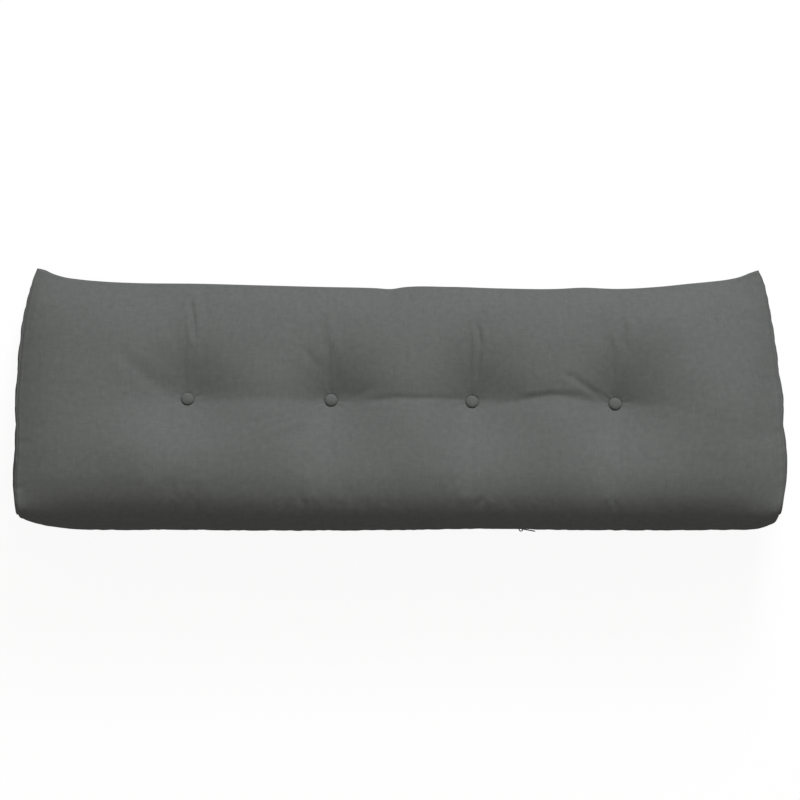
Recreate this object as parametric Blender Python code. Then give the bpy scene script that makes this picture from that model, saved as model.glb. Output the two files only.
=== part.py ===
"""Wedge-shaped back cushion with covered buttons and a zip in its base, lying on its back.

Run with: blender --background --python part.py
Metres. +X runs along the cushion, +Y from its thick base to its thin top edge, +Z out of its face.
The origin is on the surface that the cushion lies on, under the middle of its box.
"""

import math
from collections import namedtuple

import bmesh
import bpy
import numpy as np
from mathutils import Matrix, Vector

# Shares run from 0 at the top seam to 1 at the base seam. Depths run from 0 at the front of the
# base and end panels to 1 at their back.
EAR_Z = 0.018  # height of the pointed top corners
BASE_BACK_Z = 0.028  # height of the seam between base and back panels
BASE_BACK_IN = 0.008  # that seam lies this much further in than the base panel's front seam

Profile = namedtuple("Profile", "y z")
FRONT_PROFILE = (  # the face between buttons, from the top seam over the crown to the base seam
    Profile(y=0.2196, z=0.0200),
    Profile(y=0.2046, z=0.0390),
    Profile(y=0.1746, z=0.0680),
    Profile(y=0.1296, z=0.0960),
    Profile(y=0.0746, z=0.1220),
    Profile(y=0.0096, z=0.1490),
    Profile(y=-0.0554, z=0.1760),
    Profile(y=-0.1094, z=0.1960),
    Profile(y=-0.1544, z=0.2060),
    Profile(y=-0.1934, z=0.2035),
    Profile(y=-0.2224, z=0.1900),
    Profile(y=-0.2404, z=0.1690),
    Profile(y=-0.2494, z=0.1430),
)

TopEdge = namedtuple("TopEdge", "x y")
TOP_EDGE = (  # the top seam, from the left ear to the right ear
    TopEdge(x=-0.7158, y=0.2586),
    TopEdge(x=-0.6988, y=0.2546),
    TopEdge(x=-0.6868, y=0.2488),
    TopEdge(x=-0.6628, y=0.2412),
    TopEdge(x=-0.6308, y=0.2364),
    TopEdge(x=-0.5918, y=0.2328),
    TopEdge(x=-0.5328, y=0.2298),
    TopEdge(x=-0.3938, y=0.2280),
    TopEdge(x=-0.2758, y=0.2249),
    TopEdge(x=-0.1568, y=0.2218),
    TopEdge(x=-0.0458, y=0.2192),
    TopEdge(x=-0.0158, y=0.2176),
    TopEdge(x=0.0062, y=0.2208),
    TopEdge(x=0.1002, y=0.2218),
    TopEdge(x=0.1992, y=0.2188),
    TopEdge(x=0.3172, y=0.2180),
    TopEdge(x=0.3572, y=0.2201),
    TopEdge(x=0.4312, y=0.2178),
    TopEdge(x=0.5152, y=0.2222),
    TopEdge(x=0.5742, y=0.2282),
    TopEdge(x=0.6142, y=0.2320),
    TopEdge(x=0.6532, y=0.2370),
    TopEdge(x=0.6732, y=0.2416),
    TopEdge(x=0.6932, y=0.2494),
    TopEdge(x=0.7096, y=0.2548),
)

BaseEdge = namedtuple("BaseEdge", "x seam_y bulge")
BASE_EDGE = (  # the base panel's front seam, and how far its middle stands out past it
    BaseEdge(x=-0.7306, seam_y=-0.2221, bulge=0.002),
    BaseEdge(x=-0.7276, seam_y=-0.2257, bulge=0.003),
    BaseEdge(x=-0.7199, seam_y=-0.2301, bulge=0.004),
    BaseEdge(x=-0.7084, seam_y=-0.2353, bulge=0.004),
    BaseEdge(x=-0.6892, seam_y=-0.2409, bulge=0.005),
    BaseEdge(x=-0.6448, seam_y=-0.2472, bulge=0.006),
    BaseEdge(x=-0.5758, seam_y=-0.2505, bulge=0.006),
    BaseEdge(x=-0.4700, seam_y=-0.2503, bulge=0.006),
    BaseEdge(x=-0.3838, seam_y=-0.2508, bulge=0.006),
    BaseEdge(x=-0.3300, seam_y=-0.2515, bulge=0.006),
    BaseEdge(x=0.0012, seam_y=-0.2510, bulge=0.006),
    BaseEdge(x=0.1932, seam_y=-0.2492, bulge=0.005),
    BaseEdge(x=0.3092, seam_y=-0.2506, bulge=0.006),
    BaseEdge(x=0.4862, seam_y=-0.2513, bulge=0.006),
    BaseEdge(x=0.6012, seam_y=-0.2510, bulge=0.006),
    BaseEdge(x=0.6472, seam_y=-0.2507, bulge=0.006),
    BaseEdge(x=0.6742, seam_y=-0.2501, bulge=0.006),
    BaseEdge(x=0.6932, seam_y=-0.2476, bulge=0.006),
    BaseEdge(x=0.7087, seam_y=-0.2418, bulge=0.005),
    BaseEdge(x=0.7202, seam_y=-0.2348, bulge=0.004),
    BaseEdge(x=0.7267, seam_y=-0.2222, bulge=0.002),
)

EndSeam = namedtuple("EndSeam", "share left right height bulge")
END_SEAMS = (  # distance of the end seams from the middle, their height, the end panels' bulge
    EndSeam(share=0.00, left=0.7158, right=0.7096, height=0.018, bulge=0.000),
    EndSeam(share=0.05, left=0.7233, right=0.7186, height=0.026, bulge=0.001),
    EndSeam(share=0.10, left=0.7288, right=0.7230, height=0.034, bulge=0.002),
    EndSeam(share=0.20, left=0.7366, right=0.7286, height=0.051, bulge=0.005),
    EndSeam(share=0.30, left=0.7395, right=0.7326, height=0.070, bulge=0.007),
    EndSeam(share=0.40, left=0.7408, right=0.7362, height=0.091, bulge=0.008),
    EndSeam(share=0.50, left=0.7398, right=0.7391, height=0.115, bulge=0.010),
    EndSeam(share=0.60, left=0.7351, right=0.7358, height=0.139, bulge=0.011),
    EndSeam(share=0.70, left=0.7324, right=0.7373, height=0.161, bulge=0.013),
    EndSeam(share=0.80, left=0.7326, right=0.7338, height=0.177, bulge=0.014),
    EndSeam(share=0.90, left=0.7296, right=0.7275, height=0.185, bulge=0.014),
    EndSeam(share=1.00, left=0.7306, right=0.7267, height=0.152, bulge=0.012),
)

END_ROUND = 0.17  # the face rises to its full crown over this distance from an end seam
END_POWER = 3.0
BACK_ROUND = 0.045  # the back panel lifts to its seams over this distance
PANEL_ROUND = 0.9  # how squarely base and end panels bulge, 1 for a sine
TOP_PULL = 4  # the higher, the closer to its seam the face follows that seam's drawn-in line
LOW_PULL = 5  # the same for the base seam
CORNER_PULL = 8
TIP_PULL = 40  # the base panel's bulge past its end seam is gone a few centimetres from it
SETTLE_UP = 8  # hollows and swells die out this fast towards the top and base seams
SETTLE_END = 12

Button = namedtuple("Button", "x y")
BUTTONS = (
    Button(x=-0.4102, y=-0.0012),
    Button(x=-0.1326, y=-0.0035),
    Button(x=0.1408, y=-0.0065),
    Button(x=0.4181, y=-0.0107),
)
BUTTON_RADIUS = 0.0125
BUTTON_EDGE = 0.0034  # height of the straight rim under the dome
BUTTON_DOME = 0.0050
BUTTON_TILT = math.radians(15.0)  # the face leans back, so the buttons do too
SEAT_RADIUS = 0.0135
SEAT_DEPTH = 0.0016
SEAT_CLEAR = 0.040  # length of the round cutter, which leaves nothing over the button
SEAT_SEARCH = 1001  # steps down the face in which a button's height is looked up
BUTTON_SIDES = 20
BUTTON_BEVEL = 0.0008
DOME_STEPS = 5
GAP = 0.00035  # between pieces that touch
MERGE = 1e-5  # grid points closer than this are one point of a seam

Hollow = namedtuple("Hollow", "right left above below depth")
HOLLOWS = (  # the wide hollow round each button, how far it reaches and how deep it is
    Hollow(right=0.066, left=0.060, above=0.067, below=0.060, depth=0.042),
    Hollow(right=0.064, left=0.046, above=0.064, below=0.067, depth=0.043),
    Hollow(right=0.078, left=0.046, above=0.068, below=0.067, depth=0.042),
    Hollow(right=0.082, left=0.050, above=0.070, below=0.072, depth=0.045),
)
HOLLOW_LOW = 0.007  # the hollow's middle lies this far below the button
CUSP_DEEP = 0.004  # the steeper hollow close to the button
CUSP_REACH = 0.022
CUSP_SOFT = 0.008

Bay = namedtuple("Bay", "depth arch")
BAYS = (  # the valleys between one button and the next, and how far each arches upwards
    Bay(depth=0.006, arch=0.000),
    Bay(depth=0.009, arch=0.004),
    Bay(depth=0.010, arch=0.009),
)
VALLEY_REACH = 0.020
VALLEY_SOFT = 0.012
VALLEY_FADE = 0.045

Swell = namedtuple("Swell", "x y height reach_x reach_y")
SWELLS = (  # where the filling has settled unevenly
    Swell(x=-0.498, y=-0.110, height=0.008, reach_x=0.150, reach_y=0.060),
    Swell(x=-0.455, y=-0.072, height=0.013, reach_x=0.090, reach_y=0.050),
    Swell(x=0.592, y=0.015, height=0.016, reach_x=0.110, reach_y=0.070),
    Swell(x=0.502, y=0.160, height=0.010, reach_x=0.050, reach_y=0.057),
    Swell(x=-0.618, y=0.020, height=0.003, reach_x=0.090, reach_y=0.070),
    Swell(x=-0.538, y=0.120, height=0.008, reach_x=0.050, reach_y=0.057),
    Swell(x=-0.350, y=0.215, height=-0.009, reach_x=0.150, reach_y=0.060),
    Swell(x=0.480, y=-0.105, height=0.005, reach_x=0.080, reach_y=0.060),
)
BACK_TUFT = 0.010  # the stitches lift the back panel here
BACK_TUFT_REACH = 0.055

ZIP_HALF = 0.250
ZIP_WIDTH = 0.0120
ZIP_THICK = 0.0016
ZIP_SUNK = 0.0027  # the zip's outer face lies this deep between the folded edges of the cloth
ZIP_STEPS = 20
SLIDER_X = 0.2367
SLIDER_SIZE = Vector((0.0120, 0.0020, 0.0090))
SLIDER_BEVEL = 0.0007
SLIDER_GAP = 0.0005  # the strip is bowed, so the slider stands a little further off it
BAIL_SPAN = 0.0090
BAIL_RISE = 0.0074
BAIL_RADIUS = 0.0010
BAIL_ROOT = 0.0006  # how far the bail's feet are let into the slider
BAIL_STEPS = 9
BAIL_ROUND = 2
PULL_SIZE = Vector((0.0285, 0.0012, 0.0070))
PULL_BEVEL = 0.0003
PULL_WINDOW = Vector((0.0046, 0.0100, 0.0038))
PULL_RIM = 0.0014  # metal left between the window and the pull's inner end
PULL_TILT = math.radians(-10.0)
PULL_ROLL = math.radians(-12.0)
PULL_HANG = Vector((0.0034, -0.0048, 0.0))  # from the slider's foot to the window's middle

PANEL_COLOURS = {
    "cover_cloth": ((0.125, 0.130, 0.126, 1.0), 0.92, 0.0),
    "button_cloth": ((0.130, 0.135, 0.131, 1.0), 0.90, 0.0),
    "zip_coil": ((0.030, 0.031, 0.030, 1.0), 0.55, 0.0),
    "zip_metal": ((0.050, 0.050, 0.052, 1.0), 0.35, 0.8),
}


def curve(knots, values, at):
    """Values along a smooth curve through the knots, whose slopes come from their neighbours."""
    knots = np.asarray(knots, float)
    values = np.asarray(values, float)
    at = np.clip(np.asarray(at, float), knots[0], knots[-1])
    slopes = np.gradient(values, knots)
    low = np.clip(np.searchsorted(knots, at, side="right") - 1, 0, len(knots) - 2)
    step = knots[low + 1] - knots[low]
    s = (at - knots[low]) / step
    rise = s * s * (3 - 2 * s)
    lead = s * (1 - s) ** 2 * step * slopes[low]
    trail = s * s * (s - 1) * step * slopes[low + 1]
    return values[low] * (1 - rise) + values[low + 1] * rise + lead + trail


def column(table, name):
    return [getattr(row, name) for row in table]


def half_length(side, share):
    """Distance of the end seam from the middle, for sides -1 (left) and 1 (right)."""
    left = curve(column(END_SEAMS, "share"), column(END_SEAMS, "left"), share)
    right = curve(column(END_SEAMS, "share"), column(END_SEAMS, "right"), share)
    return np.where(np.asarray(side) < 0, left, right)


def top_y(x):
    return curve(column(TOP_EDGE, "x"), column(TOP_EDGE, "y"), x)


def base_y(x):
    return curve(column(BASE_EDGE, "x"), column(BASE_EDGE, "seam_y"), x)


def base_bulge(x):
    return curve(column(BASE_EDGE, "x"), column(BASE_EDGE, "bulge"), x)


def valley_drop(x, y):
    """The soft valleys that run from button to button and fade out past the last ones."""
    drop = np.zeros_like(x)
    for left, right, bay in zip(BUTTONS, BUTTONS[1:], BAYS):
        way = (x - left.x) / (right.x - left.x)
        line = left.y + (right.y - left.y) * way + bay.arch * np.sin(math.pi * np.clip(way, 0, 1))
        past = np.maximum(np.maximum(left.x - x, x - right.x), 0) / VALLEY_FADE
        away = np.hypot(y - line, VALLEY_SOFT) - VALLEY_SOFT
        drop = np.maximum(drop, bay.depth * np.exp(-away / VALLEY_REACH - past**2 / 2))
    return drop


def tuft_drop(x, y):
    """How far the buttons pull the face down below its plain crown."""
    drop = valley_drop(x, y)
    for button, hollow in zip(BUTTONS, HOLLOWS):
        across = x - button.x
        up = y - button.y + HOLLOW_LOW
        side = np.where(across > 0, hollow.right, hollow.left)
        reach = np.where(up > 0, hollow.above, hollow.below)
        broad = (across / side) ** 2 + (up / reach) ** 2
        near = (np.hypot(np.hypot(across, y - button.y), CUSP_SOFT) - CUSP_SOFT) / CUSP_REACH
        drop = drop + hollow.depth * np.exp(-broad / 2) + CUSP_DEEP * np.exp(-near)
    return drop


def swell_rise(x, y):
    rise = np.zeros_like(x)
    for swell in SWELLS:
        away = ((x - swell.x) / swell.reach_x) ** 2 + ((y - swell.y) / swell.reach_y) ** 2
        rise = rise + swell.height * np.exp(-away / 2)
    return rise


def fullness(along, share):
    """0 at an end seam and 1 where the face has its full crown. along runs from -1 to 1."""
    inward = (1 - np.abs(along)) * half_length(along, share)
    return 1 - (1 - np.minimum(inward / END_ROUND, 1)) ** END_POWER


def front_run():
    """Distances along the face's cloth to each point of its profile, as shares of the whole."""
    y = np.array(column(FRONT_PROFILE, "y"))
    z = np.array(column(FRONT_PROFILE, "z"))
    run = np.concatenate([[0], np.cumsum(np.hypot(np.diff(y), np.diff(z)))])
    return run / run[-1]


def seam_ends(along):
    """Where the line at this place along the cushion meets the top seam and the base seam."""
    return along * half_length(along, 0.0), along * half_length(along, 1.0)


def front_point(along, share):
    x = along * half_length(along, share)
    top_x, low_x = seam_ends(along)
    y = curve(front_run(), column(FRONT_PROFILE, "y"), share)
    y = y + (top_y(top_x) - FRONT_PROFILE[0].y) * (1 - share) ** TOP_PULL
    y = y + (base_y(low_x) - FRONT_PROFILE[-1].y) * share**LOW_PULL
    seam_z = curve(column(END_SEAMS, "share"), column(END_SEAMS, "height"), share)
    crown_z = curve(front_run(), column(FRONT_PROFILE, "z"), share)
    z = seam_z + (crown_z - seam_z) * fullness(along, share)
    settle = np.minimum(1, SETTLE_UP * share * (1 - share))
    settle = settle * np.minimum(1, SETTLE_END * (1 - np.abs(along)))
    return x, y, z + (swell_rise(x, y) - tuft_drop(x, y)) * settle


def back_edge(along, share):
    """The back panel's seam line, where it meets the end panels."""
    x = along * half_length(along, share)
    top_x, low_x = seam_ends(along)
    y = top_y(top_x) * (1 - share) + (base_y(low_x) + BASE_BACK_IN) * share
    z = EAR_Z + (BASE_BACK_Z - EAR_Z) * share
    return x, y, z


def back_point(along, share):
    x, y, end_z = back_edge(along, share)
    top_x, low_x = seam_ends(along)
    top_z = front_point(along, 0.0 * share)[2]
    to_top = np.clip(1 - (top_y(top_x) - y) / BACK_ROUND, 0, 1)
    to_base = np.clip(1 - (y - base_y(low_x) - BASE_BACK_IN) / BACK_ROUND, 0, 1)
    to_end = np.clip(1 - (1 - np.abs(along)) * half_length(along, share) / BACK_ROUND, 0, 1)
    z = np.maximum(np.maximum(top_z * to_top**2, BASE_BACK_Z * to_base**2), end_z * to_end**2)
    for button in BUTTONS:
        near = np.hypot(x - button.x, y - button.y) / BACK_TUFT_REACH
        z = z + BACK_TUFT * np.clip(1 - near**2, 0, 1) ** 3
    return x, y, z


def stand_out(depth):
    """How far the base and end panels stand out, from 0 at their seams to 1 between them."""
    return np.sin(math.pi * np.clip(depth, 0, 1)) ** PANEL_ROUND


def base_point(along, depth):
    low_x = seam_ends(along)[1]
    front_z = front_point(along, np.ones_like(along))[2]
    y = base_y(low_x) + BASE_BACK_IN * depth - base_bulge(low_x) * stand_out(depth)
    z = front_z + (BASE_BACK_Z - front_z) * depth
    end_bulge = END_SEAMS[-1].bulge * stand_out(depth) * np.abs(along) ** TIP_PULL
    return low_x + np.sign(along) * end_bulge, y, z


def end_point(side, share, depth):
    along = side * np.ones_like(share)
    front = front_point(along, share)
    back = back_edge(along, share)
    bulge = curve(column(END_SEAMS, "share"), column(END_SEAMS, "bulge"), share)
    x = front[0] + (back[0] - front[0]) * depth + side * bulge * stand_out(depth)
    low_x = seam_ends(along)[1]
    base_out = base_bulge(low_x) * stand_out(depth) * share**CORNER_PULL
    y = front[1] + (back[1] - front[1]) * depth - base_out
    z = front[2] + (back[2] - front[2]) * depth
    return x, y, z


FROM_BUTTON = (0.0, 0.018, 0.038, 0.062)
FROM_END = (0.004, 0.012, 0.025, 0.045, 0.070, 0.100, 0.135, 0.175, 0.215, 0.250)
MID_BAY = 0.100


def stations():
    """Places along the cushion, close together at the ends and round each button, from -1 to 1."""
    left_end = -half_length(-1, 0.5)
    right_end = half_length(1, 0.5)
    places = {float(left_end + step) for step in FROM_END}
    places.update(float(right_end - step) for step in FROM_END)
    for button in BUTTONS:
        places.update(button.x + step for step in FROM_BUTTON)
        places.update(button.x - step for step in FROM_BUTTON)
    for left, right in zip(BUTTONS, BUTTONS[1:]):
        places.update((left.x + MID_BAY, (left.x + right.x) / 2, right.x - MID_BAY))
    ordered = np.array(sorted(places))
    return np.concatenate([[-1.0], ordered / half_length(np.sign(ordered), 0.5), [1.0]])


ROWS = np.array(
    (0.0, 0.020, 0.055, 0.105, 0.165, 0.230, 0.300, 0.365, 0.415, 0.452, 0.480)
    + (0.505, 0.540, 0.590, 0.650, 0.715, 0.775, 0.830, 0.880, 0.925, 0.965, 1.0)
)
DEPTHS = np.linspace(0, 1, 7)


def add_grid(mesh, points, flip):
    """Adds a grid of quads through points, an array of rows by columns by three."""
    rows, columns = points.shape[:2]
    grid = [[mesh.verts.new(points[i, j]) for j in range(columns)] for i in range(rows)]
    for i in range(rows - 1):
        for j in range(columns - 1):
            corners = (grid[i][j], grid[i][j + 1], grid[i + 1][j + 1], grid[i + 1][j])
            mesh.faces.new(corners[::-1] if flip else corners)


def on_grid(surface, rows, columns):
    first, second = np.meshgrid(rows, columns, indexing="ij")
    return np.stack(surface(first, second), axis=-1)


def material(slot):
    colour, roughness, metallic = PANEL_COLOURS[slot]
    made = bpy.data.materials.new(slot)
    made.use_nodes = True
    shader = made.node_tree.nodes["Principled BSDF"]
    shader.inputs["Base Color"].default_value = colour
    shader.inputs["Roughness"].default_value = roughness
    shader.inputs["Metallic"].default_value = metallic
    return made


def add_object(name, mesh, slot):
    data = bpy.data.meshes.new(name)
    mesh.to_mesh(data)
    mesh.free()
    made = bpy.data.objects.new(name, data)
    made.data.materials.append(slot)
    bpy.context.scene.collection.objects.link(made)
    return made


def join_or_cut(piece, mesh, name, operation):
    """A Boolean modifier on a piece, whose tool stays hidden in the scene."""
    tool = add_object(name, mesh, piece.data.materials[0])
    tool.hide_render = True
    tool.display_type = "WIRE"
    change = piece.modifiers.new(name, "BOOLEAN")
    change.operation = operation
    change.object = tool
    return tool


def cushion(slot):
    """The filled cover: front, back, base and two end panels, joined at their seams."""
    mesh = bmesh.new()
    along = stations()
    add_grid(mesh, on_grid(lambda v, a: front_point(a, v), ROWS, along), flip=True)
    add_grid(mesh, on_grid(lambda v, a: back_point(a, v), ROWS, along), flip=False)
    add_grid(mesh, on_grid(lambda w, a: base_point(a, w), DEPTHS, along), flip=True)
    for side in (-1, 1):
        points = on_grid(lambda v, w, s=side: end_point(s, v, w), ROWS, DEPTHS)
        add_grid(mesh, points, flip=side > 0)
    bmesh.ops.remove_doubles(mesh, verts=mesh.verts, dist=MERGE)
    bmesh.ops.recalc_face_normals(mesh, faces=mesh.faces)
    bmesh.ops.triangulate(mesh, faces=mesh.faces)
    made = add_object("cushion", mesh, slot)
    made.data.shade_smooth()
    return made


def seat_height(button):
    """Height of the face under the middle of a button."""
    along = button.x / half_length(button.x, 0.5)
    shares = np.linspace(0, 1, SEAT_SEARCH)
    x, y, z = front_point(np.full_like(shares, float(along)), shares)
    return float(np.interp(-button.y, -y, z))


def seat_frame(button):
    place = Matrix.Translation((button.x, button.y, seat_height(button) - SEAT_DEPTH))
    return place @ Matrix.Rotation(-BUTTON_TILT, 4, "X")


def cut_seat(body, button, name):
    """A shallow round seat in the face, which holds the button."""
    mesh = bmesh.new()
    bmesh.ops.create_cone(
        mesh,
        cap_ends=True,
        segments=BUTTON_SIDES,
        radius1=SEAT_RADIUS,
        radius2=SEAT_RADIUS,
        depth=SEAT_CLEAR,
    )
    bmesh.ops.translate(mesh, verts=mesh.verts, vec=(0, 0, SEAT_CLEAR / 2))
    join_or_cut(body, mesh, name, "DIFFERENCE").matrix_world = seat_frame(button)


def covered_button(button, name, slot):
    """A domed button covered in cloth: a turned outline with a straight rim."""
    shoulder = GAP + BUTTON_EDGE
    outline = [(BUTTON_RADIUS - BUTTON_BEVEL, GAP), (BUTTON_RADIUS, GAP + BUTTON_BEVEL)]
    for turn in np.linspace(0, math.pi / 2, DOME_STEPS, endpoint=False):
        outline.append((BUTTON_RADIUS * math.cos(turn), shoulder + BUTTON_DOME * math.sin(turn)))
    turns = [2 * math.pi * k / BUTTON_SIDES for k in range(BUTTON_SIDES)]
    mesh = bmesh.new()
    rings = []
    for radius, height in outline:
        ring = [(radius * math.cos(turn), radius * math.sin(turn), height) for turn in turns]
        rings.append([mesh.verts.new(point) for point in ring])
    for lower, upper in zip(rings, rings[1:]):
        for k in range(BUTTON_SIDES):
            after = (k + 1) % BUTTON_SIDES
            mesh.faces.new((lower[k], lower[after], upper[after], upper[k]))
    mesh.faces.new(rings[0][::-1])
    crown = mesh.verts.new((0, 0, shoulder + BUTTON_DOME))
    for k in range(BUTTON_SIDES):
        mesh.faces.new((rings[-1][k], rings[-1][(k + 1) % BUTTON_SIDES], crown))
    made = add_object(name, mesh, slot)
    made.data.shade_smooth()
    made.matrix_world = seat_frame(button)


def zip_line(x):
    """The point of the base panel's middle line at x, where the cloth would lie with no zip."""
    along = np.asarray(x / half_length(x, 1.0))
    return Vector([float(p) for p in base_point(along, np.asarray(0.5))])


def zip_bar(half, width, inner, outer):
    """A bar along the base panel's middle line, from inner to outer metres out of the cloth."""
    mesh = bmesh.new()
    loops = []
    for x in np.linspace(-half, half, ZIP_STEPS + 1):
        middle = zip_line(float(x))
        corners = ((inner, -width / 2), (inner, width / 2), (outer, width / 2), (outer, -width / 2))
        loops.append(
            [mesh.verts.new((middle.x, middle.y - out, middle.z + up)) for out, up in corners]
        )
    for first, second in zip(loops, loops[1:]):
        for k in range(4):
            after = (k + 1) % 4
            mesh.faces.new((first[k], first[after], second[after], second[k]))
    mesh.faces.new(loops[0][::-1])
    mesh.faces.new(loops[-1])
    bmesh.ops.recalc_face_normals(mesh, faces=mesh.faces)
    return mesh


def cut_zip_channel(body):
    """The channel between the folded edges of the base panel, in which the zip lies."""
    floor = -(ZIP_SUNK + ZIP_THICK + GAP)
    mesh = zip_bar(ZIP_HALF + 2 * GAP, ZIP_WIDTH + 2 * GAP, floor, ZIP_THICK)
    join_or_cut(body, mesh, "zip_channel", "DIFFERENCE")


def zip_strip(slot):
    """The closed zip: a flat strip that follows the base panel's middle line."""
    mesh = zip_bar(ZIP_HALF, ZIP_WIDTH, -(ZIP_SUNK + ZIP_THICK), -ZIP_SUNK)
    add_object("zip_strip", mesh, slot)


def block(size, bevel):
    mesh = bmesh.new()
    bmesh.ops.create_cube(mesh, size=1.0)
    bmesh.ops.scale(mesh, vec=size, verts=mesh.verts)
    bmesh.ops.bevel(
        mesh, geom=mesh.edges[:], offset=bevel, segments=1, affect="EDGES", clamp_overlap=True
    )
    return mesh


def slider_foot():
    """The middle of the slider's underside, just off the zip's outer face."""
    middle = zip_line(SLIDER_X)
    return middle + Vector((0, ZIP_SUNK - SLIDER_GAP, 0))


def bail_wire():
    """The bail's bent wire as a closed mesh, an arch that stands out of the slider."""
    guide = bpy.data.curves.new("bail", "CURVE")
    guide.dimensions = "3D"
    guide.bevel_depth = BAIL_RADIUS
    guide.bevel_resolution = BAIL_ROUND
    guide.use_fill_caps = True
    arch = guide.splines.new("POLY")
    turns = np.linspace(0, math.pi, BAIL_STEPS)
    arch.points.add(len(turns) - 1)
    root = slider_foot() - Vector((0, SLIDER_SIZE.y - BAIL_ROOT, 0))
    for point, turn in zip(arch.points, turns):
        out = Vector((BAIL_SPAN / 2 * math.cos(turn), -BAIL_RISE * math.sin(turn), 0))
        point.co = (*(root + out), 1)
    wire = bpy.data.objects.new("bail", guide)
    bpy.context.scene.collection.objects.link(wire)
    bpy.context.view_layer.update()
    graph = bpy.context.evaluated_depsgraph_get()
    mesh = bmesh.new()
    mesh.from_mesh(bpy.data.meshes.new_from_object(wire.evaluated_get(graph)))
    bpy.data.objects.remove(wire)
    bmesh.ops.remove_doubles(mesh, verts=mesh.verts, dist=MERGE)
    bmesh.ops.recalc_face_normals(mesh, faces=mesh.faces)
    return mesh


def zip_slider(slot):
    """The slider's body, with the bail that its pull hangs on."""
    mesh = block(SLIDER_SIZE, SLIDER_BEVEL)
    middle = slider_foot() - Vector((0, SLIDER_SIZE.y / 2, 0))
    bmesh.ops.translate(mesh, verts=mesh.verts, vec=middle)
    body = add_object("zip_slider", mesh, slot)
    join_or_cut(body, bail_wire(), "bail", "UNION")


def zip_pull(slot):
    """The pull: a flat tab whose window rides on the bail."""
    mesh = block(PULL_SIZE, PULL_BEVEL)
    middle = PULL_SIZE.x / 2 - PULL_RIM - PULL_WINDOW.x / 2
    bmesh.ops.translate(mesh, verts=mesh.verts, vec=(middle, 0, 0))
    pull = add_object("zip_pull", mesh, slot)
    window = bmesh.new()
    bmesh.ops.create_cube(window, size=1.0)
    bmesh.ops.scale(window, vec=PULL_WINDOW, verts=window.verts)
    cutter = join_or_cut(pull, window, "pull_window", "DIFFERENCE")
    hang = Matrix.Translation(slider_foot() + PULL_HANG)
    hang = hang @ Matrix.Rotation(PULL_TILT, 4, "Z") @ Matrix.Rotation(PULL_ROLL, 4, "X")
    pull.matrix_world = hang
    cutter.matrix_world = hang


def main():
    for old in list(bpy.data.objects):
        bpy.data.objects.remove(old)
    slots = {name: material(name) for name in PANEL_COLOURS}
    body = cushion(slots["cover_cloth"])
    cut_zip_channel(body)
    for number, button in enumerate(BUTTONS, start=1):
        cut_seat(body, button, f"seat_{number}")
        covered_button(button, f"button_{number}", slots["button_cloth"])
    zip_strip(slots["zip_coil"])
    zip_slider(slots["zip_metal"])
    zip_pull(slots["zip_metal"])


main()
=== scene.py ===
# %% [markdown]
# # A tufted wedge cushion in linen-look cloth
# The object is a long back cushion: a filled cover with a thin top edge and a thick base, four
# covered buttons that draw its face in, and a zip in its base panel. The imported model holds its
# plain solids. This lesson loads them, then sews a detailed cover over them, piece by piece.

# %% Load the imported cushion
import math

import bmesh
import bpy
import numpy as np
from mathutils import Matrix, Vector


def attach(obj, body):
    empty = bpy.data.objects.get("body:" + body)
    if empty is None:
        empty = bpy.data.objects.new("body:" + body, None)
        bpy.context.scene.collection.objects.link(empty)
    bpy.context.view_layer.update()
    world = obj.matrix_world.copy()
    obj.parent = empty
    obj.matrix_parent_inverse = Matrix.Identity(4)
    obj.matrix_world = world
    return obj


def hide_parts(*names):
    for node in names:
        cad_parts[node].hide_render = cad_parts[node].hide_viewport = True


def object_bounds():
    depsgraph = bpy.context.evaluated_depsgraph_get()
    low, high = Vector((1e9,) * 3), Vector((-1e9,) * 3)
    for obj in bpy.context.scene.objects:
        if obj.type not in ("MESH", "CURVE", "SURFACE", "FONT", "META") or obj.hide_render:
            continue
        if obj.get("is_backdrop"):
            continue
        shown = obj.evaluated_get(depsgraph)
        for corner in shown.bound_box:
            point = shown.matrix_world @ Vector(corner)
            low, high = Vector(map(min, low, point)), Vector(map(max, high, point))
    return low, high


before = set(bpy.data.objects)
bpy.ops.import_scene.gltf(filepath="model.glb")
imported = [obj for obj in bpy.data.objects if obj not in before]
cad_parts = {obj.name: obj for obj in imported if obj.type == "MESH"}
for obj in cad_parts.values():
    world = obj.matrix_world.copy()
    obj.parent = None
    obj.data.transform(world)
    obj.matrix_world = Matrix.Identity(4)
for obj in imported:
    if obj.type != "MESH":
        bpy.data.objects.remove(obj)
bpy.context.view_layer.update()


def new_object(name, data):
    made = bpy.data.objects.new(name, data)
    bpy.context.scene.collection.objects.link(made)
    return made


def mm(values, digits=1):
    """Metres as rounded millimetres, for the printed lines."""
    return np.round(np.multiply(values, 1000), digits).tolist()


print("solids:", sorted(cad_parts))

# %% [markdown]
# ## Camera
# The photograph looks squarely at the face from far away, with the thin edge up. The cushion lies
# on its back here, so the same view looks straight down. A 100 mm lens more than four metres off
# gives the photograph's flat perspective, in which one pixel spans about 1.94 mm of the face.

# %% Camera over the face
PIXELS = 800
LENS, SENSOR = 100.0, 36.0
EYE = Vector((0.0012, -0.0023, 4.412))

camera = new_object("camera", bpy.data.cameras.new("camera"))
camera.data.lens, camera.data.sensor_width = LENS, SENSOR
camera.data.clip_start, camera.data.clip_end = 0.1, 50.0
camera.location = EYE
bpy.context.scene.camera = camera
print("one pixel at 0.1 m height, mm:", mm((EYE.z - 0.1) * SENSOR / LENS / PIXELS, 4))

# %% [markdown]
# ## The cushion's form
# A maker describes a cushion by a few lines: the crown across its face, the outline of its seams,
# and where the buttons pull. The lines of the solid are used again, because the cover has to lie
# exactly on it. Each line is a short table of points with a smooth curve through them.

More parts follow.
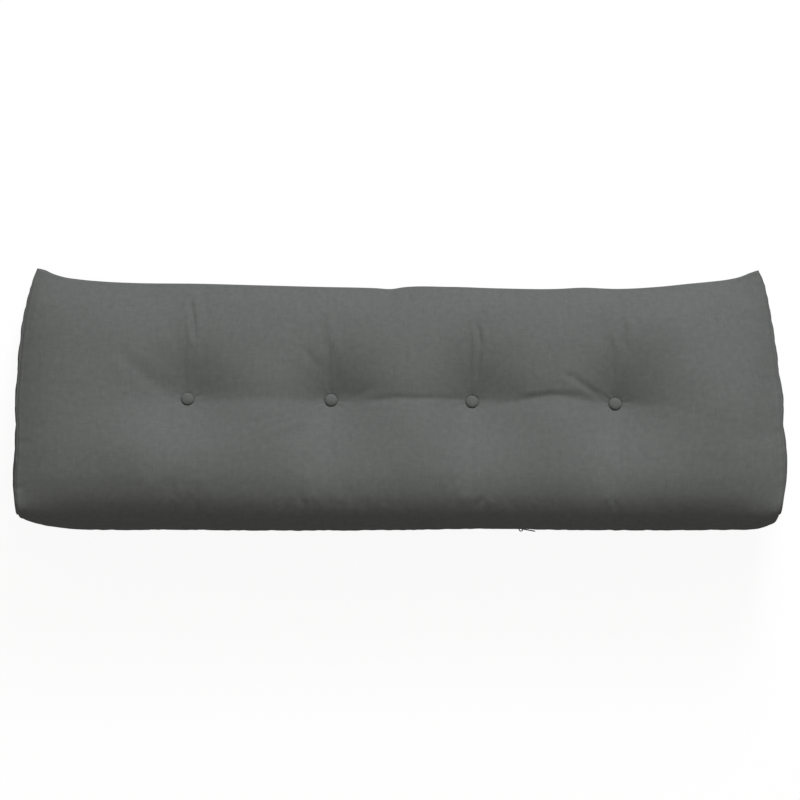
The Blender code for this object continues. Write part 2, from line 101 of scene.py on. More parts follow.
# %% A smooth curve through a table of points
def curve(knots, values, at):
    knots, values = np.asarray(knots, float), np.asarray(values, float)
    at = np.clip(np.asarray(at, float), knots[0], knots[-1])
    slopes = np.gradient(values, knots)
    low = np.clip(np.searchsorted(knots, at, side="right") - 1, 0, len(knots) - 2)
    step = knots[low + 1] - knots[low]
    s = (at - knots[low]) / step
    rise = s * s * (3 - 2 * s)
    lead = s * (1 - s) ** 2 * step * slopes[low]
    trail = s * s * (s - 1) * step * slopes[low + 1]
    return values[low] * (1 - rise) + values[low + 1] * rise + lead + trail


print("a curve through 0, 1, 0 at its middle:", float(curve([0, 1, 2], [0, 1, 0], 1.0)))

# %% The crown of the face, from the top seam to the base seam
CROWN = np.array((
    (0.2196, 0.0200), (0.2046, 0.0390), (0.1746, 0.0680), (0.1296, 0.0960), (0.0746, 0.1220),
    (0.0096, 0.1490), (-0.0554, 0.1760), (-0.1094, 0.1960), (-0.1544, 0.2060),
    (-0.1934, 0.2035), (-0.2224, 0.1900), (-0.2404, 0.1690), (-0.2494, 0.1430),
))  # y and z
EAR_Z, BASE_BACK_Z, BASE_BACK_IN = 0.018, 0.028, 0.008
crown_run = np.concatenate([[0], np.cumsum(np.hypot(*np.diff(CROWN, axis=0).T))])
FACE_RUN = float(crown_run[-1])
crown_run = crown_run / FACE_RUN
print("cloth from top seam to base seam, mm:", mm(FACE_RUN))

# %% The seams' outlines
TOP_EDGE = np.array((
    (-0.7158, 0.2586), (-0.6988, 0.2546), (-0.6868, 0.2488), (-0.6628, 0.2412), (-0.6308, 0.2364),
    (-0.5918, 0.2328), (-0.5328, 0.2298), (-0.3938, 0.2280), (-0.2758, 0.2249), (-0.1568, 0.2218),
    (-0.0458, 0.2192), (-0.0158, 0.2176), (0.0062, 0.2208), (0.1002, 0.2218), (0.1992, 0.2188),
    (0.3172, 0.2180), (0.3572, 0.2201), (0.4312, 0.2178), (0.5152, 0.2222), (0.5742, 0.2282),
    (0.6142, 0.2320), (0.6532, 0.2370), (0.6732, 0.2416), (0.6932, 0.2494), (0.7096, 0.2548),
))  # x and y
BASE_EDGE = np.array((
    (-0.7306, -0.2221, 0.002), (-0.7276, -0.2257, 0.003), (-0.7199, -0.2301, 0.004),
    (-0.7084, -0.2353, 0.004), (-0.6892, -0.2409, 0.005), (-0.6448, -0.2472, 0.006),
    (-0.5758, -0.2505, 0.006), (-0.4700, -0.2503, 0.006), (-0.3838, -0.2508, 0.006),
    (-0.3300, -0.2515, 0.006), (0.0012, -0.2510, 0.006), (0.1932, -0.2492, 0.005),
    (0.3092, -0.2506, 0.006), (0.4862, -0.2513, 0.006), (0.6012, -0.2510, 0.006),
    (0.6472, -0.2507, 0.006), (0.6742, -0.2501, 0.006), (0.6932, -0.2476, 0.006),
    (0.7087, -0.2418, 0.005), (0.7202, -0.2348, 0.004), (0.7267, -0.2222, 0.002),
))  # x, y of the seam, and how far the base panel stands out past it
END_SEAMS = np.array((
    (0.00, 0.7158, 0.7096, 0.018, 0.000), (0.05, 0.7233, 0.7186, 0.026, 0.001),
    (0.10, 0.7288, 0.7230, 0.034, 0.002), (0.20, 0.7366, 0.7286, 0.051, 0.005),
    (0.30, 0.7395, 0.7326, 0.070, 0.007), (0.40, 0.7408, 0.7362, 0.091, 0.008),
    (0.50, 0.7398, 0.7391, 0.115, 0.010), (0.60, 0.7351, 0.7358, 0.139, 0.011),
    (0.70, 0.7324, 0.7373, 0.161, 0.013), (0.80, 0.7326, 0.7338, 0.177, 0.014),
    (0.90, 0.7296, 0.7275, 0.185, 0.014), (1.00, 0.7306, 0.7267, 0.152, 0.012),
))  # share of the way down, left and right distance from the middle, height, panel bulge


def column_curve(table, column):
    """The smooth curve of one of a table's columns over its first column."""
    return lambda at: curve(table[:, 0], table[:, column], at)


top_y = column_curve(TOP_EDGE, 1)
base_y, base_bulge = column_curve(BASE_EDGE, 1), column_curve(BASE_EDGE, 2)
left_end, right_end, end_height, end_bulge = (column_curve(END_SEAMS, k) for k in (1, 2, 3, 4))


def half_length(side, share):
    return np.where(np.asarray(side) < 0, left_end(share), right_end(share))


def seam_ends(along):
    return along * half_length(along, 0.0), along * half_length(along, 1.0)


print("length at half height, m:", round(float(half_length(-1, 0.5) + half_length(1, 0.5)), 4))

# %% [markdown]
# ## How the buttons pull the face in
# A button is drawn down with twine through the filling. Round it the face falls in a wide soft
# hollow with a steeper dip in the middle, and a shallow valley runs on to the next button. Sums
# of bell curves give this smoothly; modelling it by hand would leave dents.

# %% Hollows, valleys and settled filling
BUTTONS = np.array(((-0.4102, -0.0012), (-0.1326, -0.0035), (0.1408, -0.0065), (0.4181, -0.0107)))
HOLLOWS = (  # how far each reaches right, left, up and down, and its depth
    (0.066, 0.060, 0.067, 0.060, 0.042), (0.064, 0.046, 0.064, 0.067, 0.043),
    (0.078, 0.046, 0.068, 0.067, 0.042), (0.082, 0.050, 0.070, 0.072, 0.045),
)
HOLLOW_LOW = 0.007  # a hollow's middle lies this far below its button
CUSP_DEEP, CUSP_REACH, CUSP_SOFT = 0.004, 0.022, 0.008  # the steeper dip close to a button
BAYS = ((0.006, 0.000), (0.009, 0.004), (0.010, 0.009))  # depth of each valley, and its arch
VALLEY_REACH, VALLEY_SOFT, VALLEY_FADE = 0.020, 0.012, 0.045
SWELLS = (  # x, y, height, and how far it reaches along x and y
    (-0.498, -0.110, 0.008, 0.150, 0.060), (-0.455, -0.072, 0.013, 0.090, 0.050),
    (0.592, 0.015, 0.016, 0.110, 0.070), (0.502, 0.160, 0.010, 0.050, 0.057),
    (-0.618, 0.020, 0.003, 0.090, 0.070), (-0.538, 0.120, 0.008, 0.050, 0.057),
    (-0.350, 0.215, -0.009, 0.150, 0.060), (0.480, -0.105, 0.005, 0.080, 0.060),
)


def rounded(away, soft):
    """A distance whose sharp point at zero is rounded off."""
    return np.hypot(away, soft) - soft


def valley_drop(x, y):
    drop = np.zeros_like(x)
    for left, right, (depth, arch) in zip(BUTTONS, BUTTONS[1:], BAYS):
        way = (x - left[0]) / (right[0] - left[0])
        line = left[1] + (right[1] - left[1]) * way + arch * np.sin(math.pi * np.clip(way, 0, 1))
        past = np.maximum(np.maximum(left[0] - x, x - right[0]), 0) / VALLEY_FADE
        away = rounded(y - line, VALLEY_SOFT)
        drop = np.maximum(drop, depth * np.exp(-away / VALLEY_REACH - past**2 / 2))
    return drop


def tuft_drop(x, y):
    drop = valley_drop(x, y)
    for (bx, by), (right, left, above, below, depth) in zip(BUTTONS, HOLLOWS):
        up = y - by + HOLLOW_LOW
        broad = ((x - bx) / np.where(x > bx, right, left)) ** 2
        broad = broad + (up / np.where(up > 0, above, below)) ** 2
        near = rounded(np.hypot(x - bx, y - by), CUSP_SOFT) / CUSP_REACH
        drop = drop + depth * np.exp(-broad / 2) + CUSP_DEEP * np.exp(-near)
    return drop


def swell_rise(x, y):
    rise = np.zeros_like(x)
    for sx, sy, height, reach_x, reach_y in SWELLS:
        rise = rise + height * np.exp(-(((x - sx) / reach_x) ** 2 + ((y - sy) / reach_y) ** 2) / 2)
    return rise


print("hollow under each button, mm:", mm(tuft_drop(*BUTTONS.T)))

# %% The face
END_ROUND, END_POWER = 0.17, 3  # the face has its full crown from this distance to an end seam
TOP_PULL, LOW_PULL = 4, 5  # how fast the curves of the top and base seams fade out over the face
SETTLE_UP, SETTLE_END = 8, 12  # how fast hollows and swells die out towards the seams


def inward(along, share):
    """Distance from the nearer end seam."""
    return (1 - np.abs(along)) * half_length(along, share)


def fullness(along, share):
    return 1 - (1 - np.minimum(inward(along, share) / END_ROUND, 1)) ** END_POWER


def front_point(along, share, pull=1.0):
    x = along * half_length(along, share)
    top_x, low_x = seam_ends(along)
    y = curve(crown_run, CROWN[:, 0], share)
    y = y + (top_y(top_x) - CROWN[0, 0]) * (1 - share) ** TOP_PULL
    y = y + (base_y(low_x) - CROWN[-1, 0]) * share**LOW_PULL
    seam_z = end_height(share)
    z = seam_z + (curve(crown_run, CROWN[:, 1], share) - seam_z) * fullness(along, share)
    settle = np.minimum(1, SETTLE_UP * share * (1 - share))
    settle = settle * np.minimum(1, SETTLE_END * (1 - np.abs(along)))
    return x, y, z + (swell_rise(x, y) - pull * tuft_drop(x, y)) * settle


print("middle of the face, mm:", mm(front_point(np.array(0.0), 0.5)))

# %% The back, base and end panels
BACK_ROUND = 0.045  # the back panel lifts to its seams over this distance
BACK_TUFT, BACK_TUFT_REACH = 0.010, 0.055  # the buttons' twine lifts the back a little
PANEL_ROUND = 0.9  # base and end panels bulge like a sine at 1, and more squarely below it
TIP_PULL, CORNER_PULL = 40, 8  # how close to a corner one panel's bulge meets the other's


def back_edge(along, share):
    x = along * half_length(along, share)
    top_x, low_x = seam_ends(along)
    y = top_y(top_x) * (1 - share) + (base_y(low_x) + BASE_BACK_IN) * share
    return x, y, EAR_Z + (BASE_BACK_Z - EAR_Z) * share


def lift(away):
    """1 at a seam of the back panel and 0 where the panel lies flat."""
    return np.clip(1 - away / BACK_ROUND, 0, 1)


def back_point(along, share):
    x, y, end_z = back_edge(along, share)
    top_x, low_x = seam_ends(along)
    top_z = front_point(along, 0.0 * share)[2]
    z = np.maximum(top_z * lift(top_y(top_x) - y) ** 2,
                   BASE_BACK_Z * lift(y - base_y(low_x) - BASE_BACK_IN) ** 2)
    z = np.maximum(z, end_z * lift(inward(along, share)) ** 2)
    for bx, by in BUTTONS:
        near = np.hypot(x - bx, y - by) / BACK_TUFT_REACH
        z = z + BACK_TUFT * np.clip(1 - near**2, 0, 1) ** 3
    return x, y, z


def stand_out(depth):
    return np.sin(math.pi * np.clip(depth, 0, 1)) ** PANEL_ROUND


def base_point(along, depth):
    low_x = seam_ends(along)[1]
    front_z = front_point(along, np.ones_like(along))[2]
    y = base_y(low_x) + BASE_BACK_IN * depth - base_bulge(low_x) * stand_out(depth)
    tip = END_SEAMS[-1, 4] * stand_out(depth) * np.abs(along) ** TIP_PULL
    return low_x + np.sign(along) * tip, y, front_z + (BASE_BACK_Z - front_z) * depth


def end_point(side, share, depth):
    along = side * np.ones_like(share)
    front, back = front_point(along, share), back_edge(along, share)
    x = front[0] + (back[0] - front[0]) * depth + side * end_bulge(share) * stand_out(depth)
    corner = base_bulge(seam_ends(along)[1]) * stand_out(depth) * share**CORNER_PULL
    y = front[1] + (back[1] - front[1]) * depth - corner
    return x, y, front[2] + (back[2] - front[2]) * depth


print("middle of the base, mm:", mm(base_point(np.array(0.0), 0.5)))

# %% [markdown]
# ## Cutting and sewing the panels
# A cover is sewn from flat panels. Here each panel is a grid of points, whose rows and columns
# crowd together at seams, buttons and zip, where the cloth bends sharply. Points that two panels
# share at a seam become one, which gives a closed cover without gaps.

# %% Places that crowd together where the cloth bends
STEPS = (0.0016, 0.0046, 0.06)  # the finest and the widest step, and how fast they widen
LEFT, RIGHT = float(half_length(-1, 0.5)), float(half_length(1, 0.5))
BUTTON_SHARE = float(np.interp(0.0045, -CROWN[:, 0], crown_run))


def graded(length, fine_at, finest, coarsest, growth):
    run = np.linspace(0, length, 8001)
    away = np.min([np.abs(run - place) for place in fine_at], axis=0)
    step = np.minimum(coarsest, finest + growth * away)
    count = np.concatenate([[0], np.cumsum(np.diff(run) * 2 / (step[1:] + step[:-1]))])
    return np.interp(np.linspace(0, count[-1], math.ceil(count[-1]) + 1), count, run)


def as_share(x):
    """Places in metres as shares of the way from the middle to either end."""
    return np.clip(x / np.where(x < 0, LEFT, RIGHT), -1, 1)


def in_metres(along):
    return along * np.where(along < 0, LEFT, RIGHT)


fine_along = as_share(graded(LEFT + RIGHT, [0, LEFT + RIGHT, *(BUTTONS[:, 0] + LEFT)], *STEPS) - LEFT)
fine_shares = graded(FACE_RUN, [0, BUTTON_SHARE * FACE_RUN, FACE_RUN], *STEPS) / FACE_RUN
print("columns and rows of the finished face:", len(fine_along), len(fine_shares))

# %% Panels as grids of points
def grid(surface, first, second):
    u, v = np.meshgrid(first, second, indexing="ij")
    return np.stack(np.broadcast_arrays(*surface(u, v)), axis=-1)


def panels(along, shares, depths, backs, pull=1.0):
    return {
        "front": grid(lambda v, a: front_point(a, v, pull), shares, along),
        "back": grid(lambda v, a: back_point(a, v), backs, along),
        "base": grid(lambda w, a: base_point(a, w), depths, along),
        "left": grid(lambda v, w: end_point(-1, v, w), shares, depths),
        "right": grid(lambda v, w: end_point(1, v, w), shares, depths),
    }


FLIPPED = {"front": True, "back": False, "base": True, "left": False, "right": True}


def quads(ids, flip):
    a, b, c, d = ids[:-1, :-1], ids[:-1, 1:], ids[1:, 1:], ids[1:, :-1]
    order = (d, c, b, a) if flip else (a, b, c, d)
    return np.stack([corner.ravel() for corner in order], axis=1)


# %% Sew panels into one closed cover
class Cover:
    """Panels sewn together: shared points, faces, and which point each panel corner became."""

    def __init__(self, parts):
        self.shapes = {name: part.shape[:2] for name, part in parts.items()}
        loose = np.concatenate([part.reshape(-1, 3) for part in parts.values()])
        keys = np.round(loose * 1e6).astype(np.int64)
        _, self.first, sewn = np.unique(keys, axis=0, return_index=True, return_inverse=True)
        self.sewn, self.points = sewn.ravel(), loose[self.first]

    def places(self):
        """For each panel, the places of its points among all the loose points."""
        start = 0
        for name, (high, wide) in self.shapes.items():
            yield name, np.arange(start, start + high * wide).reshape(high, wide)
            start += high * wide

    def faces(self):
        """Corners of each face as places in the loose panels, without doubled corners."""
        corners = np.concatenate([quads(ids, FLIPPED[name]) for name, ids in self.places()])
        sewn = self.sewn[corners]
        doubled = np.any(sewn == np.roll(sewn, 1, axis=1), axis=1)
        faces = corners[~doubled].tolist()
        for face in corners[doubled].tolist():
            kept = [c for k, c in enumerate(face) if self.sewn[c] != self.sewn[face[k - 1]]]
            if len(kept) > 2:
                faces.append(kept)
        return faces

    def gather(self, values):
        """Values given per panel, averaged where panels meet."""
        loose = np.concatenate([values[name].reshape(ids.size, -1) for name, ids in self.places()])
        total = np.zeros((len(self.points), loose.shape[1]))
        np.add.at(total, self.sewn, loose)
        return total / np.bincount(self.sewn)[:, None]

    def spread(self, values):
        """Values per sewn point, laid out again per panel."""
        return {name: values[self.sewn[ids]] for name, ids in self.places()}

    def sewn_faces(self, loose_faces):
        return [[int(self.sewn[c]) for c in face] for face in loose_faces]

    def mesh(self, name):
        made = bpy.data.meshes.new(name)
        made.from_pydata(self.points.tolist(), [], self.sewn_faces(self.faces()))
        return made


COARSE = (as_share(np.linspace(-LEFT, RIGHT, 161)), *(np.linspace(0, 1, n) for n in (61, 13, 31)))
coarse = panels(*COARSE)
sim_cover = Cover(coarse)
print("points in the cover for the cloth:", len(sim_cover.points))

# %% [markdown]
# ## Wrinkles from a cloth simulation
# The face was cut as plain cloth for a smooth crown, and the buttons then drew it in. That leaves
# too much cloth round each button and too little between them, so it pleats and pulls. Cloth that
# rests in the plain crown's size, starts in the tufted shape and is blown up a little finds those
# wrinkles by itself. Seams, button seats and the back panel are held.

# %% Simulate the filled cover
HELD_ROUND = 0.017  # cloth is held this far round a button's middle
FRAMES = 24
CLOTH = {
    "quality": 6, "mass": 0.25, "tension_stiffness": 18, "compression_stiffness": 18,
    "shear_stiffness": 6, "bending_stiffness": 0.25, "air_damping": 2.0, "shrink_min": -0.035,
    "use_pressure": True, "uniform_pressure_force": 4.0, "vertex_group_mass": "held",
}


def hold(name, part):
    """1 where the cloth is held: seams, the back panel, and under the buttons."""
    held = np.full(part.shape[:2], float(name == "back"))
    held[0], held[-1], held[:, 0], held[:, -1] = 1, 1, 1, 1
    if name == "front":
        for bx, by in BUTTONS:
            held[np.hypot(part[..., 0] - bx, part[..., 1] - by) < HELD_ROUND] = 1
    return held


def simulate(cover, parts, plain):
    body = new_object("filled_cover", cover.mesh("filled_cover"))
    body.shape_key_add(name="tufted")
    cut = body.shape_key_add(name="cut")
    cut.data.foreach_set("co", plain.ravel())
    cut.value = 0.0
    pins = body.vertex_groups.new(name="held")
    held = cover.gather({name: hold(name, part) for name, part in parts.items()}).ravel()
    pins.add(np.nonzero(held > 0.4)[0].tolist(), 1.0, "REPLACE")
    cloth = body.modifiers.new("cloth", "CLOTH")
    for name, value in CLOTH.items():
        setattr(cloth.settings, name, value)
    cloth.settings.rest_shape_key = cut
    cloth.settings.effector_weights.gravity = 0.0
    cloth.point_cache.frame_start, cloth.point_cache.frame_end = 1, FRAMES
    scene = bpy.context.scene
    for step in range(1, FRAMES + 1):
        scene.frame_set(step)
    shown = body.evaluated_get(bpy.context.evaluated_depsgraph_get())
    settled = np.empty(len(shown.data.vertices) * 3)
    shown.data.vertices.foreach_get("co", settled)
    scene.frame_set(1)
    bpy.data.objects.remove(body)
    return settled.reshape(-1, 3)


moved = np.zeros_like(sim_cover.points)
plain = panels(*COARSE, pull=0.0)
plain_points = np.concatenate([p.reshape(-1, 3) for p in plain.values()])[sim_cover.first]
moved = simulate(sim_cover, coarse, plain_points) - sim_cover.points
typical = np.sqrt((moved**2).sum(1).mean())
print("cloth moved, mm: most", mm(np.abs(moved).max()), "typical", mm(typical, 2))

# %% [markdown]
# The simulation also shifts the whole crown a little, and the crown is already known. So its
# movement is parted in two: the slow part, averaged over a hand's width, is mostly dropped, and
# the quick part, which is the wrinkles, is kept. No point may move more than 8 mm.

# %% Keep the wrinkles, drop the drift
SLOW_KEPT, MOST_MOVED, BLURS = 0.25, 0.008, 24


def blur(values, times):
    for _ in range(times):
        for axis in (0, 1):
            near = np.concatenate([np.take(values, [0], axis), values,
                                   np.take(values, [-1], axis)], axis)
            size = values.shape[axis]
            values = (np.take(near, range(size), axis) + 2 * values
                      + np.take(near, range(2, size + 2), axis)) / 4
    return values


def from_ends(count):
    return np.minimum(np.arange(count), np.arange(count)[::-1])


wrinkles = {}
for name, shift in sim_cover.spread(moved).items():
    quick_part = shift - blur(shift, BLURS) * (1 - SLOW_KEPT)
    edge = np.minimum.outer(from_ends(shift.shape[0]), from_ends(shift.shape[1]))
    quick_part = quick_part * np.clip(edge / 2, 0, 1)[..., None]
    size = np.linalg.norm(quick_part, axis=-1, keepdims=True)
    wrinkles[name] = quick_part * np.minimum(1, MOST_MOVED / np.maximum(size, 1e-9))
print("most wrinkled, mm:", {name: mm(np.abs(w).max()) for name, w in wrinkles.items()})

# %% [markdown]
# ## The finished cover
# The face that is shown has points every two to five millimetres. The cover is made in layers, as
# a sculptor would work: the plain form, the wrinkles from the simulation, then the creases, seams
# and gathers that the photograph shows. All but the first only move its points a little.

# %% Fine panels, and the wrinkles laid on them
PANEL_HIGH = 0.115
HALF_STEPS = np.array((0, 1.6, 3.4, 5.8, 9, 13, 18, 24, 30.5, 36.5, 41.5, 45.2, 47.6, 49.2, 50.3,
                       51.0, 51.4, 54.4)) / 1000
fine_depths = np.concatenate([HALF_STEPS, [PANEL_HIGH / 2], PANEL_HIGH - HALF_STEPS[::-1]]) / PANEL_HIGH
BACK_RUN = 0.470
fine_backs = graded(BACK_RUN, [0, BACK_RUN], 0.002, 0.024, 0.22) / BACK_RUN
fine = panels(fine_along, fine_shares, fine_depths, fine_backs)
cover = Cover(fine)
print("points in the shown cover:", len(cover.points), "back rows:", len(fine_backs))


def cubic(places, count):
    """Weights that read a smooth curve through `count` even knots at places from 0 to 1."""
    at = np.clip(places, 0, 1) * (count - 1)
    low = np.minimum(at.astype(int), count - 2)
    s = at - low
    parts = (-s * (1 - s) ** 2, 2 - 5 * s**2 + 3 * s**3, s + 4 * s**2 - 3 * s**3, -(s**2) * (1 - s))
    weights = np.zeros((len(places), count))
    for k, part in enumerate(parts):
        np.add.at(weights, (np.arange(len(places)), np.clip(low + k - 1, 0, count - 1)), part / 2)
    return weights


def finer(values, first, second):
    """Values on a coarse grid, read off on a finer one."""
    rows, columns = cubic(first, values.shape[0]), cubic(second, values.shape[1])
    return np.einsum("ri,ijk,cj->rck", rows, values, columns, optimize=True)


fine_run = (in_metres(fine_along) + LEFT) / (LEFT + RIGHT)
AXES = {"front": (fine_shares, fine_run), "back": (fine_backs, fine_run), "base": (fine_depths, fine_run),
        "left": (fine_shares, fine_depths), "right": (fine_shares, fine_depths)}
shifts = {name: finer(w, *AXES[name]) for name, w in wrinkles.items()}

# %% [markdown]
# ### How much of the wrinkling each region shows
# The photograph's cloth is tautest below the buttons and towards the ends, and more creased above
# the buttons. A soft mask turns the wrinkles up or down to match, and leaves the middle of the
# base panel plain, where the zip is.

# %% Strength of the wrinkles over the cover
PLAIN, MORE_ABOVE = 0.16, 0.10  # shares of the simulated wrinkles shown below and above the buttons
LESS_AT_BUTTONS, LESS_AT_ENDS = 0.8, 0.5
BASE_SHARE, END_SHARE = 0.3, 0.25
ZIP_REACH = 0.27  # no wrinkles this far to either side of the middle, where the zip lies


def bell(value, middle, reach):
    return np.exp(-(((value - middle) / reach) ** 2) / 2)


def smooth(low, high, value):
    s = np.clip((value - low) / (high - low), 0, 1)
    return s * s * (3 - 2 * s)


front_x, front_y = fine["front"][..., 0], fine["front"][..., 1]
strength = PLAIN + MORE_ABOVE * smooth(0.0, 0.05, front_y)
strength *= 1 - LESS_AT_BUTTONS * bell(front_y, 0.004, 0.018) * smooth(0.5, 0.4, np.abs(front_x))
strength *= 1 - LESS_AT_ENDS * smooth(0.45, 0.60, np.abs(front_x))
shifts["front"] *= strength[..., None]
base_x = fine["base"][..., 0]
off_middle = np.abs(fine_depths - 0.5)[:, None] * PANEL_HIGH
from_zip = off_middle + np.maximum(0, np.abs(base_x) - ZIP_REACH)
shifts["base"] *= BASE_SHARE * smooth(0.014, 0.035, from_zip)[..., None]
for side in ("left", "right"):
    shifts[side] *= END_SHARE
print("strength of the wrinkles: least", round(strength.min(), 2), "most", round(strength.max(), 2))

# %% [markdown]
# ### Seats and gathers round the buttons
# The twine draws each button below the cloth round it. Under it the cloth lies flat in a round
# seat, with small pleats round it that fade out within a few centimetres. Pleats are a sum of
# waves round the button, each with its own strength and turn.

# %% Button seats
BUTTON_RADIUS, SEAT_DEPTH, TILT = 0.0125, 0.0016, math.radians(15.0)
GAP, UNDER_SEAT = 0.00035, 0.0004  # from a seat up to its button and down to its cloth
PLEATS = ((5, 0.5), (8, 0.9), (11, 1.0), (14, 0.8), (19, 0.4))  # waves round a button, and their size
PLEAT_HIGH, PLEAT_START, PLEAT_FADE = 0.00030, 0.017, 0.013
rng = np.random.default_rng(7)


def seat_height(bx, by):
    shares = np.linspace(0, 1, 1001)
    along = np.full_like(shares, float(bx / half_length(bx, 0.5)))
    _, y, z = front_point(along, shares)
    return float(np.interp(-by, -y, z))


SEATS = [Vector((bx, by, seat_height(bx, by) - SEAT_DEPTH)) for bx, by in BUTTONS]
front_rise = np.zeros_like(front_x)
front_z = fine["front"][..., 2]
for seat in SEATS:
    across, up = front_x - seat.x, front_y - seat.y
    away = np.hypot(across, up)
    flat = seat.z - math.tan(TILT) * up - UNDER_SEAT
    under = 1 - smooth(BUTTON_RADIUS - 0.0022, BUTTON_RADIUS + 0.0006, away)
    shifts["front"][..., 2] += (flat - front_z) * under
    turn = np.arctan2(up, across)
    pleats = np.zeros_like(turn)
    for waves, size in PLEATS:
        pleats += size * rng.uniform(0.6, 1.2) * np.cos(waves * turn + rng.uniform(0, 6.28))
    reach = smooth(BUTTON_RADIUS, PLEAT_START, away) * np.exp(-np.maximum(away - PLEAT_START, 0) / PLEAT_FADE)
    front_rise += PLEAT_HIGH * pleats * reach
print("seats, mm:", [mm(seat) for seat in SEATS])

# %% [markdown]
# ### Creases
# Each crease runs along a few points that were read off the photograph, in pixels of its
# 800-wide frame. The camera tells which pixel each point of the cloth is seen at, so a crease
# is simply a dent along that line, fading towards both ends, with a soft swelling beside it.
# Where the photograph shows a low ridge, the depth is negative.

# %% Creases seen in the photograph
def seen_at(points):
    """Pixel of the photograph at which each point of the cloth is seen."""
    scale = PIXELS * LENS / SENSOR / (EYE.z - points[..., 2])
    return (PIXELS / 2 + (points[..., 0] - EYE.x) * scale,
            PIXELS / 2 - (points[..., 1] - EYE.y) * scale)


CREASES = (  # depth in mm, width in pixels, and the points of its line
    (3.0, 2.5, (190, 294), (191, 305), (193, 318), (195, 332), (195, 348)),
    (1.8, 6.0, (113, 343), (128, 361), (142, 373), (158, 386), (172, 396)),
    (-0.5, 6.0, (140, 350), (158, 366), (176, 382)),
    (1.0, 2.2, (354, 294), (350, 306), (346, 316)),
    (1.2, 2.6, (340, 312), (336, 328), (329, 340), (325, 356)),
    (1.6, 3.5, (300, 344), (308, 355), (320, 370)),
    (0.6, 2.8, (383, 380), (372, 387), (361, 393), (349, 398)),
    (1.3, 2.6, (364, 404), (380, 400), (395, 397.5), (412, 398.5), (436, 398.5)),
    (0.8, 2.6, (420, 398.5), (440, 398.5), (464, 400)),
    (2.2, 2.4, (473, 314), (477, 326), (480, 340), (479, 360), (476, 384)),
    (0.9, 3.0, (488, 404.5), (505, 403.5), (520, 401.5), (534, 398.5)),
    (1.7, 3.0, (518, 401.3), (535, 397.6), (549, 394.9), (565, 395.4), (584, 399.5)),
    (-0.8, 6.5, (470, 401), (490, 398), (510, 396), (530, 392), (550, 389)),
    (-0.5, 6.0, (328, 401), (350, 398.5), (372, 396.5), (396, 394)),
    (2.0, 2.8, (560, 372), (574, 378), (586, 386), (602, 399)),
    (1.2, 4.0, (620, 308), (622, 328), (620, 350)),
    (-0.5, 3.0, (566, 384), (580, 390), (594, 395)),
    (-0.9, 3.0, (308, 418), (286, 428), (250, 440)),
    (0.6, 3.0, (300, 410), (270, 418), (236, 424)),
    (0.9, 2.6, (296, 489), (301, 499), (307, 508)),
    (0.8, 2.6, (388, 493), (384, 508)),
    (0.8, 2.8, (488, 494), (480, 503), (472, 508)),
    (-0.8, 4.0, (456, 480), (460, 492), (466, 503)),
    (1.2, 4.0, (620, 412), (621, 440), (617, 478)),
    (-0.9, 2.4, (452, 453), (453, 470), (451, 484)),
    (0.7, 2.6, (191, 413), (192, 428)),
    (0.9, 2.6, (12, 440), (24, 443), (34, 441)),
    (0.9, 2.4, (10, 458), (22, 457)),
    (0.8, 2.4, (13, 489), (25, 487)),
    (0.8, 2.4, (788, 391), (776, 388)),
    (1.0, 2.4, (790, 436), (774, 431)),
    (1.2, 2.4, (792, 448), (776, 449)),
    (0.8, 2.4, (790, 469), (776, 474)),
)


def along_line(px, py, line):
    """Distance in pixels to a line, and how far along it the nearest point lies."""
    best = np.full(px.shape, 1e9)
    place = np.zeros(px.shape)
    lengths = [math.dist(a, b) for a, b in zip(line, line[1:])]
    gone = 0.0
    for (ax, ay), (bx, by), length in zip(line, line[1:], lengths):
        s = np.clip(((px - ax) * (bx - ax) + (py - ay) * (by - ay)) / length**2, 0, 1)
        away = np.hypot(px - ax - s * (bx - ax), py - ay - s * (by - ay))
        place = np.where(away < best, (gone + s * length) / sum(lengths), place)
        best = np.minimum(best, away)
        gone += length
    return best, place


SWELL_SIZE, SWELL_AT = 0.35, 2.2  # the swelling beside a crease, in its depth and width
pixel_x, pixel_y = seen_at(fine["front"])
for depth, width, *line in CREASES:
    away, place = along_line(pixel_x, pixel_y, line)
    ends = smooth(0, 0.25, place) * (1 - smooth(0.75, 1, place))
    beside = np.exp(-(((away - SWELL_AT * width) / width) ** 2))
    dent = np.exp(-((away / width) ** 2)) - SWELL_SIZE * beside
    front_rise -= depth / 1000 * ends * dent
print("creases:", len(CREASES), "deepest, mm:", mm(-front_rise.min(), 2))

# %% [markdown]
# ### Seams
# A plain seam draws the cloth in along the stitches, and the folded allowance inside makes a
# low ridge beside it. Stitches also shorten the cloth a little, so it puckers across the seam.
# Each panel knows how far every point is from its own seams, which is all that this needs.

# %% Seam grooves and puckers
BASE_HALF = 0.73  # half the length of the base panel
GROOVE_WIDE, PUCKER_REACH = 0.0022, 0.016
RIDGE_HIGH, RIDGE_AT, RIDGE_WIDE = 0.0005, 0.006, 0.003  # the seam allowance under the cloth


def ripple(run, seed):
    """Uneven waves along a seam, 16 to 40 mm long."""
    turn = np.random.default_rng(seed)
    total = np.zeros_like(run)
    for wave in (0.016, 0.021, 0.027, 0.040):
        slow = 0.5 + 0.5 * np.sin(run * 2 * math.pi / turn.uniform(0.15, 0.3) + turn.uniform(0, 6))
        total += slow * np.sin(run * 2 * math.pi / wave + turn.uniform(0, 6))
    return total / 2


